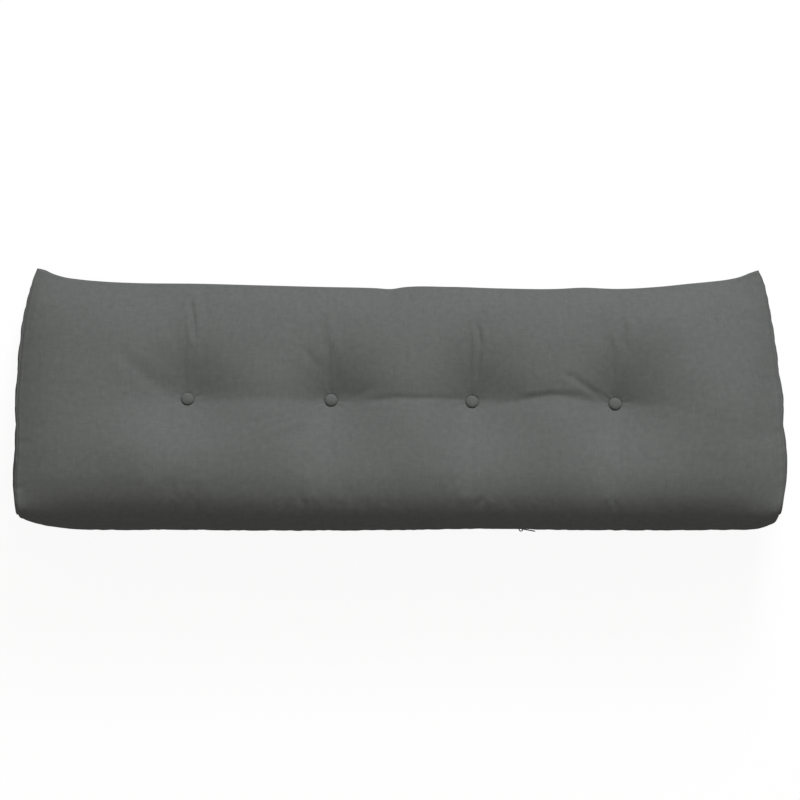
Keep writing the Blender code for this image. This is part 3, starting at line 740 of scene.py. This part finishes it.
def seam(away, run, seed, groove=0.0016, pucker=0.0004):
    """Rise of the cloth at a distance from a seam that runs along `run`."""
    line = RIDGE_HIGH * np.exp(-(((away - RIDGE_AT) / RIDGE_WIDE) ** 2))
    line = line - groove * np.exp(-((away / GROOVE_WIDE) ** 2))
    waves = np.exp(-away / PUCKER_REACH) * (1 - np.exp(-((away / 0.004) ** 2)))
    return line + pucker * ripple(run, seed) * waves


share_run, depth_run = fine_shares[:, None] * FACE_RUN, fine_depths[:, None] * PANEL_HIGH
end_away = inward(fine_along[None, :], fine_shares[:, None])
base_end_away = (1 - np.abs(fine_along))[None, :] * BASE_HALF
rises = {
    "front": front_rise + seam(share_run, front_x, 1, groove=0.0010, pucker=0.0003)
    + seam(FACE_RUN - share_run, front_x, 2, groove=0.0026, pucker=0.0002)
    + seam(end_away, share_run + np.sign(front_x), 3, groove=0.0018, pucker=0.0001),
    "base": seam(depth_run, base_x, 4, groove=0.0024, pucker=0.0002)
    + seam(PANEL_HIGH - depth_run, base_x, 5, pucker=0.0003)
    + seam(base_end_away, depth_run, 6),
    "back": np.zeros(fine["back"].shape[:2]),
}
side_high = {side: np.abs(fine[side][:, :1, 2] - fine[side][:, -1:, 2]) for side in ("left", "right")}
for seed, (side, high) in enumerate(side_high.items(), start=7):
    high = high + 1e-4
    across = fine_depths[None, :] * high
    rise = seam(across, share_run, seed, pucker=0.0001)
    rise = rise + seam(high - across, share_run, seed + 2, pucker=0.0002)
    rise = rise + seam(FACE_RUN - share_run, across, seed + 4)
    rises[side] = rise * smooth(0.006, 0.03, high)
print("seams: ridge and groove, mm:", mm((rises["base"].max(), rises["base"].min()), 2))

# %% [markdown]
# ### The opening for the zip
# The base panel is slit along its middle, and both cut edges are folded under and stitched down.
# The zip lies a little below the two folds. The rows of the base panel were placed for this: one
# pair at the floor of the slit, one on the folds, and one where the stitches press the cloth in.

# %% Fold the slit's edges
ZIP_HALF, ZIP_SUNK, ZIP_THICK = 0.250, 0.0027, 0.0016
FLOOR = ZIP_SUNK + ZIP_THICK + GAP
SLIT_WALL = (0.0061, 0.0066)  # from the middle of the zip to the foot and the top of the fold
FOLD_AT, PRESSED_AT = 0.0078, 0.0103
ends = 1 - smooth(ZIP_HALF + 0.0003, ZIP_HALF + 0.0045, np.abs(base_x))
sunk = np.interp(off_middle, SLIT_WALL, (FLOOR, 0.0))
lip = 0.0007 * bell(off_middle, FOLD_AT, 0.0011) - 0.0005 * bell(off_middle, PRESSED_AT, 0.0009)
rises["base"] *= smooth(0.012, 0.02, off_middle + np.maximum(0, np.abs(base_x) - ZIP_HALF))
shifts["base"][..., 1] += (sunk - lip) * ends
print("zip opening, length and depth, mm:", mm((2 * ZIP_HALF, FLOOR)))

# %% Make the cover's mesh
def outward(points, loops):
    """Normals of the sewn points, from the faces round them."""
    corners = points[loops]
    normals = np.cross(corners[:, 2] - corners[:, 0], corners[:, 3] - corners[:, 1])
    total = np.zeros_like(points)
    for k in range(4):
        np.add.at(total, loops[:, k], normals)
    return total / np.maximum(np.linalg.norm(total, axis=1, keepdims=True), 1e-12)


def signed_volume(points, loops):
    a, b, c, d = (points[loops[:, k]] for k in range(4))
    return float((np.einsum("ij,ij->i", a, np.cross(b, c))
                  + np.einsum("ij,ij->i", a, np.cross(c, d))).sum() / 6)


loose_faces = cover.faces()
sewn_faces = cover.sewn_faces(loose_faces)
loops = np.array([face if len(face) == 4 else face + face[-1:] for face in sewn_faces])
points = cover.points + cover.gather(shifts)
facing = math.copysign(1.0, signed_volume(points, loops))
rise = cover.gather({name: part[..., None] for name, part in rises.items()})
points = points + outward(points, loops) * facing * rise
if facing < 0:
    loose_faces = [face[::-1] for face in loose_faces]
    sewn_faces = [face[::-1] for face in sewn_faces]
cloth_mesh = bpy.data.meshes.new("cover")
cloth_mesh.from_pydata(points.tolist(), [], sewn_faces)
cloth_mesh.shade_smooth()
cover_piece = new_object("cover", cloth_mesh)
print("cover: triangles", sum(len(f) - 2 for f in sewn_faces),
      "litres", round(abs(signed_volume(points, loops)) * 1000, 1))

# %% [markdown]
# ### Cloth coordinates
# A weave runs straight along each panel as it was cut, so every panel carries coordinates in
# metres of flat cloth: one along the thread that runs down, one along the thread that runs
# across. They are kept per face corner, because two panels meet at a seam with different threads.

# %% Lay the cloth's threads over the panels
CUT_AT = {"front": 0.0, "back": 0.7, "base": 1.3, "left": 1.6, "right": 2.3}  # places on the bolt


def flat_cloth():
    """For each panel, how far across and how far down the bolt each point was cut."""
    down = {"front": fine_shares * FACE_RUN, "back": fine_backs * BACK_RUN, "base": fine_depths * PANEL_HIGH}
    made = {name: np.meshgrid(run + CUT_AT[name], in_metres(fine_along), indexing="ij")
            for name, run in down.items()}
    for side, high in side_high.items():
        made[side] = np.broadcast_arrays(share_run + CUT_AT[side], fine_depths[None, :] * high)
    return {name: np.stack([across, run], -1) for name, (run, across) in made.items()}


laid = np.concatenate([part.reshape(-1, 2) for part in flat_cloth().values()])
threads = cloth_mesh.uv_layers.new(name="threads")
threads.data.foreach_set("uv", laid[[c for face in loose_faces for c in face]].ravel())
print("cloth laid, m:", [round(float(v), 2) for v in laid.max(axis=0) - laid.min(axis=0)])

# %% [markdown]
# ## The cloth's finish
# The cloth is a dark grey, linen-look plain weave. Up close it is yarns about a millimetre thick
# that pass over and under each other; from further off one sees slubs, which are thicker and
# lighter or darker stretches of a yarn, lying along both threads. Both come from one node group,
# which the cover and the buttons share. It puts out a tone and a height.

# %% Helpers that build node trees
def add_node(tree, kind, inputs=None, **settings):
    made = tree.nodes.new(kind)
    for name, value in settings.items():
        setattr(made, name, value)
    for socket, value in (inputs or {}).items():
        if isinstance(value, bpy.types.NodeSocket):
            tree.links.new(value, made.inputs[socket])
        else:
            made.inputs[socket].default_value = value
    return made


def new_group(name, inputs, outputs):
    group = bpy.data.node_groups.new(name, "ShaderNodeTree")
    for label, kind, value in inputs:
        made = group.interface.new_socket(label, in_out="INPUT", socket_type="NodeSocket" + kind)
        if value is not None:
            made.default_value = value
    for label, kind in outputs:
        group.interface.new_socket(label, in_out="OUTPUT", socket_type="NodeSocket" + kind)
    return group, group.nodes.new("NodeGroupInput"), group.nodes.new("NodeGroupOutput")


print("helpers ready")

# %% Node group: a slubby plain weave
weave, given, result = new_group(
    "slub_weave",
    (("Threads", "Vector", None), ("Yarns per metre", "Float", 950.0), ("Slub length", "Float", 0.020),
     ("Slub width", "Float", 0.0019), ("Contrast", "Float", 0.6)),
    (("Tone", "Float"), ("Height", "Float")),
)
SPOTS = ((330.0, 1.0, 0.20), (90.0, 0.0, 0.40), (9.0, 2.0, 0.30))  # scale, detail, weight
SLUB_CONTRAST, SLUB_THICK, YARN_ROUND, YARN_CROSS = 5.0, 1.2, 0.6, 0.5


def maths(operation, *values):
    return add_node(weave, "ShaderNodeMath", dict(enumerate(values)), operation=operation).outputs[0]


def swing(place, scale, detail, **more):
    """Noise that swings about zero."""
    noise = add_node(weave, "ShaderNodeTexNoise", {"Vector": place, "Scale": scale, "Detail": detail, **more})
    return maths("SUBTRACT", noise.outputs[0], 0.5)


def slubs(first, second, offset):
    """Stretched noise, long along the first coordinate, whose few high and low spots stand out."""
    longways = maths("DIVIDE", first, given.outputs["Slub length"])
    widthways = maths("DIVIDE", second, given.outputs["Slub width"])
    place = add_node(weave, "ShaderNodeCombineXYZ", {0: longways, 1: widthways, 2: offset})
    noise = swing(place.outputs[0], 1.0, 2.0, Roughness=0.55, Distortion=0.7)
    return maths("MULTIPLY", noise, maths("MULTIPLY", maths("ABSOLUTE", noise), SLUB_CONTRAST))


parts = add_node(weave, "ShaderNodeSeparateXYZ", {0: given.outputs["Threads"]})
across, down = parts.outputs[0], parts.outputs[1]
thick = tone = maths("ADD", slubs(across, down, 0.0), slubs(down, across, 7.3))
for scale, detail, weight in SPOTS:
    tone = maths("MULTIPLY_ADD", swing(given.outputs["Threads"], scale, detail), weight, tone)
tone = maths("MULTIPLY_ADD", tone, given.outputs["Contrast"], 0.5)
weave.links.new(tone, result.inputs["Tone"])

turns = maths("MULTIPLY", given.outputs["Yarns per metre"], math.pi)
warp, weft = (maths("SINE", maths("MULTIPLY", way, turns)) for way in (across, down))
over = maths("MULTIPLY", warp, weft)
tops = [maths("MULTIPLY", maths("ABSOLUTE", wave), maths("MULTIPLY_ADD", over, cross, YARN_ROUND))
        for wave, cross in ((warp, YARN_CROSS), (weft, -YARN_CROSS))]
height = maths("MULTIPLY_ADD", thick, SLUB_THICK, maths("MAXIMUM", *tops))
weave.links.new(height, result.inputs["Height"])
print("weave group nodes:", len(weave.nodes))

# %% [markdown]
# ### Cloth material
# Base Color runs between a darker and a lighter yarn by the weave's tone. The weave's height
# feeds a Bump node in metres, so it has the same depth on every piece. The cloth is matt, and a
# little sheen stands for the short fibres that catch the light at its edges.

# %% Cloth for the cover and the buttons
DARK_YARN, LIGHT_YARN = (0.090, 0.0945, 0.0915, 1.0), (0.172, 0.1785, 0.1735, 1.0)
YARN_DEEP = 0.00012


def empty_material(name):
    made = bpy.data.materials.new(name)
    made.use_nodes = True
    made.node_tree.nodes.clear()
    return made, made.node_tree


def new_material(name):
    made, tree = empty_material(name)
    shader = add_node(tree, "ShaderNodeBsdfPrincipled")
    add_node(tree, "ShaderNodeOutputMaterial", {0: shader.outputs[0]})
    return made, tree, shader


def colour_and_bump(tree, shader, tone, dark, light, height, deep):
    """Base colour between two colours by a tone, and a bump that is `deep` metres high."""
    mixed = add_node(tree, "ShaderNodeMix", {"Factor": tone}, data_type="RGBA")
    mixed.inputs[6].default_value, mixed.inputs[7].default_value = dark, light
    bump = add_node(tree, "ShaderNodeBump", {"Height": height, "Distance": deep, "Strength": 1.0})
    tree.links.new(mixed.outputs[2], shader.inputs["Base Color"])
    tree.links.new(bump.outputs[0], shader.inputs["Normal"])


def cloth(name):
    made, tree, shader = new_material(name)
    flat = add_node(tree, "ShaderNodeUVMap", uv_map="threads")
    pattern = add_node(tree, "ShaderNodeGroup", {"Threads": flat.outputs[0]}, node_tree=weave)
    tone, height = pattern.outputs["Tone"], pattern.outputs["Height"]
    colour_and_bump(tree, shader, tone, DARK_YARN, LIGHT_YARN, height, YARN_DEEP)
    rough = add_node(tree, "ShaderNodeMapRange", {"Value": tone, "To Min": 0.96, "To Max": 0.84})
    tree.links.new(rough.outputs[0], shader.inputs["Roughness"])
    shader.inputs["Specular IOR Level"].default_value = 0.25
    shader.inputs["Sheen Weight"].default_value = 0.06
    shader.inputs["Sheen Roughness"].default_value = 0.5
    return made


cover_cloth, button_cloth = cloth("cover_cloth_weave"), cloth("button_cloth_weave")
cloth_mesh.materials.append(cover_cloth)
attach(cover_piece, "root")
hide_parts("cushion")
print("cloth materials:", cover_cloth.name, button_cloth.name)

# %% [markdown]
# ## Covered buttons
# A covered button is a domed mould with a round of cloth drawn over it and gathered underneath.
# It is turned from a profile, and the gathers are small waves round its side that die out on top.
# Turning keeps it round; a flattened sphere would have no rim for the thin shadow under it.

# %% Turn a button
def bands(rings, sides, start=0):
    """Faces between rings of points that follow one another from the start."""
    return [[low + k, low + (k + 1) % sides, low + sides + (k + 1) % sides, low + sides + k]
            for low in range(start, start + (rings - 1) * sides, sides) for k in range(sides)]


def turned(profile, sides, wave):
    """Points of a closed turned body: rings through a profile, with a point at each end."""
    turns = np.arange(sides) * 2 * math.pi / sides
    rings = []
    for level, (radius, height) in enumerate(profile):
        reach = radius + wave(level, turns)
        rings.append(np.stack([reach * np.cos(turns), reach * np.sin(turns), np.full(sides, height)], 1))
    points = np.concatenate([[[0, 0, profile[0][1]]], *rings, [[0, 0, profile[-1][1]]]])
    faces, last = bands(len(profile), sides, start=1), 1 + (len(profile) - 1) * sides
    for k in range(sides):
        after = (k + 1) % sides
        faces += [[0, 1 + after, 1 + k], [last + k, last + after, len(points) - 1]]
    return points, faces


def add_piece(name, points, faces, finish):
    mesh = bpy.data.meshes.new(name)
    mesh.from_pydata(np.asarray(points, float).tolist(), [], faces)
    mesh.shade_smooth()
    mesh.materials.append(finish)
    made = new_object(name, mesh)
    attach(made, "root")
    return made


EDGE_HIGH, DOME_HIGH = 0.0034, 0.0050
profile = [(0.0108, GAP), (0.0118, GAP + 0.0003), (0.01235, GAP + 0.0012), (0.0125, GAP + 0.0022)]
for turn in np.linspace(0.06, math.pi / 2 - 0.09, 11):
    profile.append((BUTTON_RADIUS * math.cos(turn) ** 0.9,
                    GAP + EDGE_HIGH + DOME_HIGH * math.sin(turn)))
print("button profile rings:", len(profile))

# %% Cover the four buttons
for number, (seat, spin) in enumerate(zip(SEATS, (0.35, -0.20, 0.12, 0.50)), start=1):
    chance = np.random.default_rng(20 + number)
    phases, sizes = chance.uniform(0, 6.28, 4), chance.uniform(0.4, 1.0, 4)

    def gathers(level, turns):
        fade = math.exp(-((level - 1.5) / 2.4) ** 2)
        waves = sum(s * np.cos(n * turns + p) for n, s, p in zip((9, 13, 17, 23), sizes, phases))
        return 0.00012 * fade * waves

    points, faces = turned(profile, 72, gathers)
    place = Matrix.Translation(seat) @ Matrix.Rotation(-TILT, 4, "X") @ Matrix.Rotation(spin, 4, "Z")
    placed = [place @ Vector(p) for p in points]
    made = add_piece(f"covered_button_{number}", placed, faces, button_cloth)
    laid_button = made.data.uv_layers.new(name="threads")
    corners = [c for face in faces for c in face]
    laid_button.data.foreach_set("uv", (points[corners][:, :2] + 3.0 + number * 0.1).ravel())
    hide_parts(f"button_{number}")
print("buttons, triangles each:", sum(len(f) - 2 for f in faces))

# %% [markdown]
# ## The zip
# A coil zip is two woven tapes with a nylon spiral sewn along each edge, whose turns hook into
# each other. Here the tape is one ribbon that follows the base panel, and the closed coil is a
# row of rounded turns that reach in from both sides by turns.

# %% The zip's line along the base panel
def zip_place(x, up=0.0, out=0.0):
    """A point on the zip: x along it, up across the tape, out of the cloth."""
    along = np.asarray(x / half_length(x, 1.0))
    middle = [float(p) for p in base_point(along, np.asarray(0.5))]
    return (middle[0], middle[1] - out, middle[2] + up)


def rod(rings):
    """A closed bar through rings of points, an array of rings by points by three."""
    count, sides = rings.shape[:2]
    last = (count - 1) * sides
    faces = bands(count, sides) + [list(range(sides))[::-1], list(range(last, last + sides))]
    return rings.reshape(-1, 3), faces


def zip_piece(name, points, faces, finish, slot="zip_metal"):
    """A piece of the zip, with all its faces turned outwards."""
    made = add_piece(name, points, faces, finish)
    shape = bmesh.new()
    shape.from_mesh(made.data)
    bmesh.ops.recalc_face_normals(shape, faces=shape.faces)
    shape.to_mesh(made.data)
    shape.free()
    return made


TAPE_LOW, TAPE_HIGH = -(ZIP_SUNK + ZIP_THICK), -(ZIP_SUNK + ZIP_THICK) + 0.0006
print("tape lies below the cloth, mm:", mm(-TAPE_HIGH))

# %% Zip finishes: woven tape, nylon coil, lacquered metal
grain, grain_in, grain_out = new_group(
    "fine_grain", (("Scale", "Float", 900.0), ("Low", "Float", 0.4), ("High", "Float", 0.6)),
    (("Mask", "Float"), ("Height", "Float")))
place = add_node(grain, "ShaderNodeTexCoord")
speck = add_node(grain, "ShaderNodeTexNoise", {"Vector": place.outputs["Object"],
                                               "Scale": grain_in.outputs["Scale"], "Detail": 3.0})
ranged = add_node(grain, "ShaderNodeMapRange", {"Value": speck.outputs[0], "From Min": 0.3,
                                                "From Max": 0.7, "To Min": grain_in.outputs["Low"],
                                                "To Max": grain_in.outputs["High"]})
grain.links.new(ranged.outputs[0], grain_out.inputs["Mask"])
grain.links.new(speck.outputs[0], grain_out.inputs["Height"])


def grained(name, dark, light, scale, rough, deep, metal=0.0):
    made, tree, shader = new_material(name)
    pattern = add_node(tree, "ShaderNodeGroup", {"Scale": scale, "Low": rough[0], "High": rough[1]},
                       node_tree=grain)
    height = pattern.outputs["Height"]
    colour_and_bump(tree, shader, height, (*dark, 1), (*light, 1), height, deep)
    tree.links.new(pattern.outputs["Mask"], shader.inputs["Roughness"])
    shader.inputs["Metallic"].default_value = metal
    return made


tape_weave = grained("zip_tape_weave", (0.022, 0.023, 0.022), (0.05, 0.051, 0.05), 1400, (0.75, 0.9),
                     0.0001)
nylon = grained("zip_nylon", (0.020, 0.021, 0.020), (0.040, 0.041, 0.040), 500, (0.38, 0.55), 0.00002)
lacquer = grained("zip_lacquer", (0.022, 0.022, 0.023), (0.045, 0.045, 0.047), 250, (0.28, 0.45),
                  0.00002, metal=0.85)
thread_grey = grained("thread_grey", (0.10, 0.105, 0.102), (0.17, 0.175, 0.172), 1800, (0.7, 0.85),
                      0.00008)
print("finishes:", [m.name for m in (tape_weave, nylon, lacquer, thread_grey)])

# %% Tape and coil
TAPE_HALF, COIL_STEP, COIL_WIRE = 0.006, 0.00085, 0.0003
COIL_TURN = ((0.0031, 0.0002), (0.0027, 0.0006), (0.0012, 0.00075), (-0.0006, 0.0006), (-0.0010, 0.0002))
outline = [(up, out) for out, ups in ((TAPE_LOW, (-1, 1)), (TAPE_HIGH, (1, -1)))
           for up in np.multiply(ups, TAPE_HALF)]
rings = [[zip_place(x, up, out) for up, out in outline] for x in np.linspace(-ZIP_HALF, ZIP_HALF, 101)]
tape = zip_piece("zip_tape", *rod(np.array(rings)), tape_weave, "zip_coil")
tape.data.shade_flat()
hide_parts("zip_strip")


def tube(path, radius, sides):
    """A round rod along a path of points, closed at both ends."""
    path = np.asarray(path, float)
    ahead = np.gradient(path, axis=0)
    ahead /= np.linalg.norm(ahead, axis=1, keepdims=True)
    helper = np.array((0.0, 0.0, 1.0)) if abs(ahead[0, 2]) < 0.8 else np.array((1.0, 0.0, 0.0))
    first = np.cross(ahead, helper)
    first /= np.linalg.norm(first, axis=1, keepdims=True)
    second = np.cross(ahead, first)
    turns = np.arange(sides)[:, None] * 2 * math.pi / sides
    return rod(path[:, None] + radius * (np.cos(turns) * first[:, None] + np.sin(turns) * second[:, None]))


def joined(tubes):
    points, faces, start = [], [], 0
    for part_points, part_faces in tubes:
        points.append(part_points)
        faces += [[start + c for c in face] for face in part_faces]
        start += len(part_points)
    return np.concatenate(points), faces


turns = []
for k, x in enumerate(np.arange(-ZIP_HALF + 0.004, ZIP_HALF - 0.004, COIL_STEP)):
    side = 1 if k % 2 else -1
    turns.append(tube([zip_place(x + 0.0001 * j, side * up, TAPE_HIGH + out)
                       for j, (up, out) in enumerate(COIL_TURN)], COIL_WIRE, 5))
coil = zip_piece("zip_coil_turns", *joined(turns), nylon, "zip_coil")
print("coil turns:", len(turns), "triangles:", sum(len(p.vertices) - 2 for p in coil.data.polygons))

# %% [markdown]
# ### Stitches beside the zip
# Two rows of lockstitch hold the folded edges to the tape. Each stitch is a short thread that
# dips into the cloth at both ends. They are placed one by one on the pressed line beside the zip,
# with a short bar of close stitches across each end.

# %% Top-stitching
STITCH, STITCH_UP, THREAD = 0.0034, PRESSED_AT, 0.00025
BAR_AT, BAR_STEP = ZIP_HALF + 0.0062, 0.0009
RUN_STITCH = ((0.0, -0.0009), (0.12, -0.0001), (0.5, 0.0002), (0.88, -0.0001), (1.0, -0.0009))
BAR_STITCH = ((-0.0013, 0, -0.0006), (-0.0009, 0, 0.0004), (0.0009, 0.0004, 0.0004),
              (0.0013, 0.0004, -0.0006))
paths = [[zip_place(x + s * STITCH * 0.86, side * STITCH_UP, out) for s, out in RUN_STITCH]
         for side in (-1, 1) for x in np.arange(-ZIP_HALF - 0.004, ZIP_HALF + 0.004, STITCH)]
paths += [[zip_place(end * BAR_AT + dx, up + dz, out) for dx, dz, out in BAR_STITCH]
          for end in (-1, 1) for up in np.arange(-STITCH_UP, STITCH_UP, BAR_STEP)]
stitches = joined([tube(path, THREAD, 5) for path in paths])
zip_piece("zip_stitching", *stitches, thread_grey, "cover_cloth")
print("stitches:", len(paths))

# %% [markdown]
# ### Slider and pull
# The slider is a small cast body that is wider where the open tapes would enter. A bent wire, the
# bail, stands on it, and the pull hangs on the bail by a window at its end. The body is a rounded
# plate with a raised middle, shaped by moving the points of a bevelled block.

# %% Slider body
SLIDER_X, SLIDER_GAP = 0.2367, 0.0005
SLIDER, SLIDER_EDGE = Vector((0.0120, 0.0020, 0.0090)), 0.00055
NARROWED, WAIST, SWOLLEN = 0.32, 0.10, 0.00035
foot = Vector(zip_place(SLIDER_X, out=-(ZIP_SUNK - SLIDER_GAP)))

block = bmesh.new()
bmesh.ops.create_cube(block, size=1.0)
bmesh.ops.subdivide_edges(block, edges=block.edges[:], cuts=6, use_grid_fill=True)
bmesh.ops.scale(block, vec=SLIDER, verts=block.verts)
sharp = [e for e in block.edges if len(e.link_faces) == 2 and e.calc_face_angle() > 0.5]
bmesh.ops.bevel(block, geom=sharp, offset=SLIDER_EDGE, segments=3, affect="EDGES")
block.verts.index_update()
body_points = np.array([v.co[:] for v in block.verts])
body_faces = [[v.index for v in f.verts] for f in block.faces]
block.free()
run = body_points[:, 0] / SLIDER.x + 0.5
body_points[:, 2] *= 1 - NARROWED * smooth(0.45, 1.0, run) - WAIST * bell(run, 0.42, 0.10)
body_points[:, 1] -= SWOLLEN * bell(body_points[:, 2], 0, 0.0016) * (body_points[:, 1] < 0)
body_points += np.array(foot - Vector((0, SLIDER.y / 2, 0)))
slider = zip_piece("zip_slider_body", body_points, body_faces, lacquer)
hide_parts("zip_slider")
print("slider points:", len(body_points))

# %% Bail and pull
BAIL_HALF, BAIL_RISE, BAIL_RADIUS, BAIL_ROOT = 0.0045, 0.0074, 0.0010, 0.0006
root = foot - Vector((0, SLIDER.y - BAIL_ROOT, 0))
arch = [root + Vector((BAIL_HALF * math.cos(t), -BAIL_RISE * math.sin(t), 0))
        for t in np.linspace(0, math.pi, 25)]
bail = zip_piece("zip_bail", *tube(arch, BAIL_RADIUS, 12), lacquer)

PULL_LONG, PULL_THICK, PULL_WIDE = 0.0285, 0.0012, (0.0062, 0.0070)  # width at its inner and outer end
WINDOW_LONG, WINDOW_WIDE, RIM = 0.0046, 0.0038, 0.0014
PULL_CORNER, WINDOW_CORNER, CHAMFER = 0.0026, 0.0009, 0.00018
PULL_HANG, PULL_TILT, PULL_ROLL = Vector((0.0034, -0.0048, 0)), math.radians(-10), math.radians(-12)


def rounded_outline(x0, x1, wide0, wide1, corner):
    """A rounded outline from x0 to x1 whose width runs from wide0 to wide1."""
    path = []
    for cx, cz, start in ((x1 - corner, wide1 / 2 - corner, 0), (x0 + corner, wide0 / 2 - corner, 1),
                          (x0 + corner, -wide0 / 2 + corner, 2), (x1 - corner, -wide1 / 2 + corner, 3)):
        for t in np.linspace(0, math.pi / 2, 8):
            angle = start * math.pi / 2 + t
            path.append((cx + corner * math.cos(angle), cz + corner * math.sin(angle)))
    return np.array(path)


inner_end = -RIM - WINDOW_LONG / 2
outer = rounded_outline(inner_end, inner_end + PULL_LONG, *PULL_WIDE, PULL_CORNER)
window = rounded_outline(-WINDOW_LONG / 2, WINDOW_LONG / 2, WINDOW_WIDE, WINDOW_WIDE, WINDOW_CORNER)
layers = []
for line, inset in ((outer, -CHAMFER), (window, CHAMFER)):
    away = line - line.mean(axis=0)
    away /= np.linalg.norm(away, axis=1, keepdims=True)
    for high, shrink in ((-1, 1), (-0.62, 0), (0.62, 0), (1, 1)):
        x, z = (line + away * inset * shrink).T
        layers.append(np.stack([x, np.full(len(line), high * PULL_THICK / 2), z], 1))
count = len(outer)
faces = bands(4, count) + bands(4, count, start=4 * count)
for low in (0, 3 * count):
    for k in range(count):
        after = (k + 1) % count
        faces.append([low + k, low + after, low + 4 * count + after, low + 4 * count + k])
hang = Matrix.Translation(foot + PULL_HANG)
hang = hang @ Matrix.Rotation(PULL_TILT, 4, "Z") @ Matrix.Rotation(PULL_ROLL, 4, "X")
pull_points = [hang @ Vector(p) for p in np.concatenate(layers)]
pull = zip_piece("zip_pull_tab", pull_points, faces, lacquer)
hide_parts("zip_pull")
for metal in (slider, bail, pull):
    metal.data.set_sharp_from_angle(angle=math.radians(40))
print("pull points:", len(pull_points))

# %% [markdown]
# ## Floor and light
# The photograph stands on plain white. The floor is a sheet that the camera sees as white with a
# trace of shadow, and that lights the cushion only a little. One large soft lamp stands beyond
# the thin edge, a little to the right: it lights the slope above the buttons, and leaves the
# hollows and the round of the base in shade.

# %% Floor
FAR = 50.0  # half the floor's side, so that no view shows its end
floor_mesh = bpy.data.meshes.new("floor")
floor_mesh.from_pydata([(-FAR, -FAR, 0), (FAR, -FAR, 0), (FAR, FAR, 0), (-FAR, FAR, 0)], [], [(0, 1, 2, 3)])
floor = new_object("floor", floor_mesh)
floor.location.z = -0.0005
pale, tree = empty_material("pale_floor")
seen = add_node(tree, "ShaderNodeLightPath").outputs["Is Camera Ray"]
matt = add_node(tree, "ShaderNodeBsdfDiffuse", {"Color": (0.12, 0.12, 0.12, 1)})
glow = add_node(tree, "ShaderNodeEmission", {"Color": (1, 1, 1, 1), "Strength": 0.92})
soft = add_node(tree, "ShaderNodeEmission", {"Color": (1, 1, 1, 1), "Strength": 0.12})
bright = add_node(tree, "ShaderNodeAddShader", {0: matt.outputs[0], 1: glow.outputs[0]})
both = add_node(tree, "ShaderNodeMixShader", {0: seen, 1: soft.outputs[0], 2: bright.outputs[0]})
add_node(tree, "ShaderNodeOutputMaterial", {0: both.outputs[0]})
floor_mesh.materials.append(pale)
floor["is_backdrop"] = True
print("floor size, m:", [round(v, 1) for v in floor.dimensions])

# %% Light
AMBIENT = 0.318
KEY_POWER, POWER_AT, KEY_FAR = 87.0, 3.2, 7.0  # the lamp's watts at 3.2 m, and where it stands
world = bpy.data.worlds.new("studio")
bpy.context.scene.world = world
world.use_nodes = True
sky = world.node_tree.nodes["Background"]
sky.inputs[0].default_value = (1.0, 0.975, 0.925, 1)
sky.inputs[1].default_value = AMBIENT

key = new_object("key_lamp", bpy.data.lights.new("key_lamp", "AREA"))
key.data.shape, key.data.size = "DISK", 0.4 * KEY_FAR
key.data.energy = KEY_POWER * (KEY_FAR / POWER_AT) ** 2
key.data.color = (0.965, 0.985, 1.0)
key.location = Vector((0.20, 0.84, 0.50)).normalized() * KEY_FAR
key.rotation_mode = "QUATERNION"
key.rotation_quaternion = (-key.location).to_track_quat("-Z", "Y")
bpy.context.scene.view_settings.view_transform = "Standard"
print("key lamp stands at, m:", [round(v, 2) for v in key.location])

# %% Measure and finish
low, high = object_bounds()
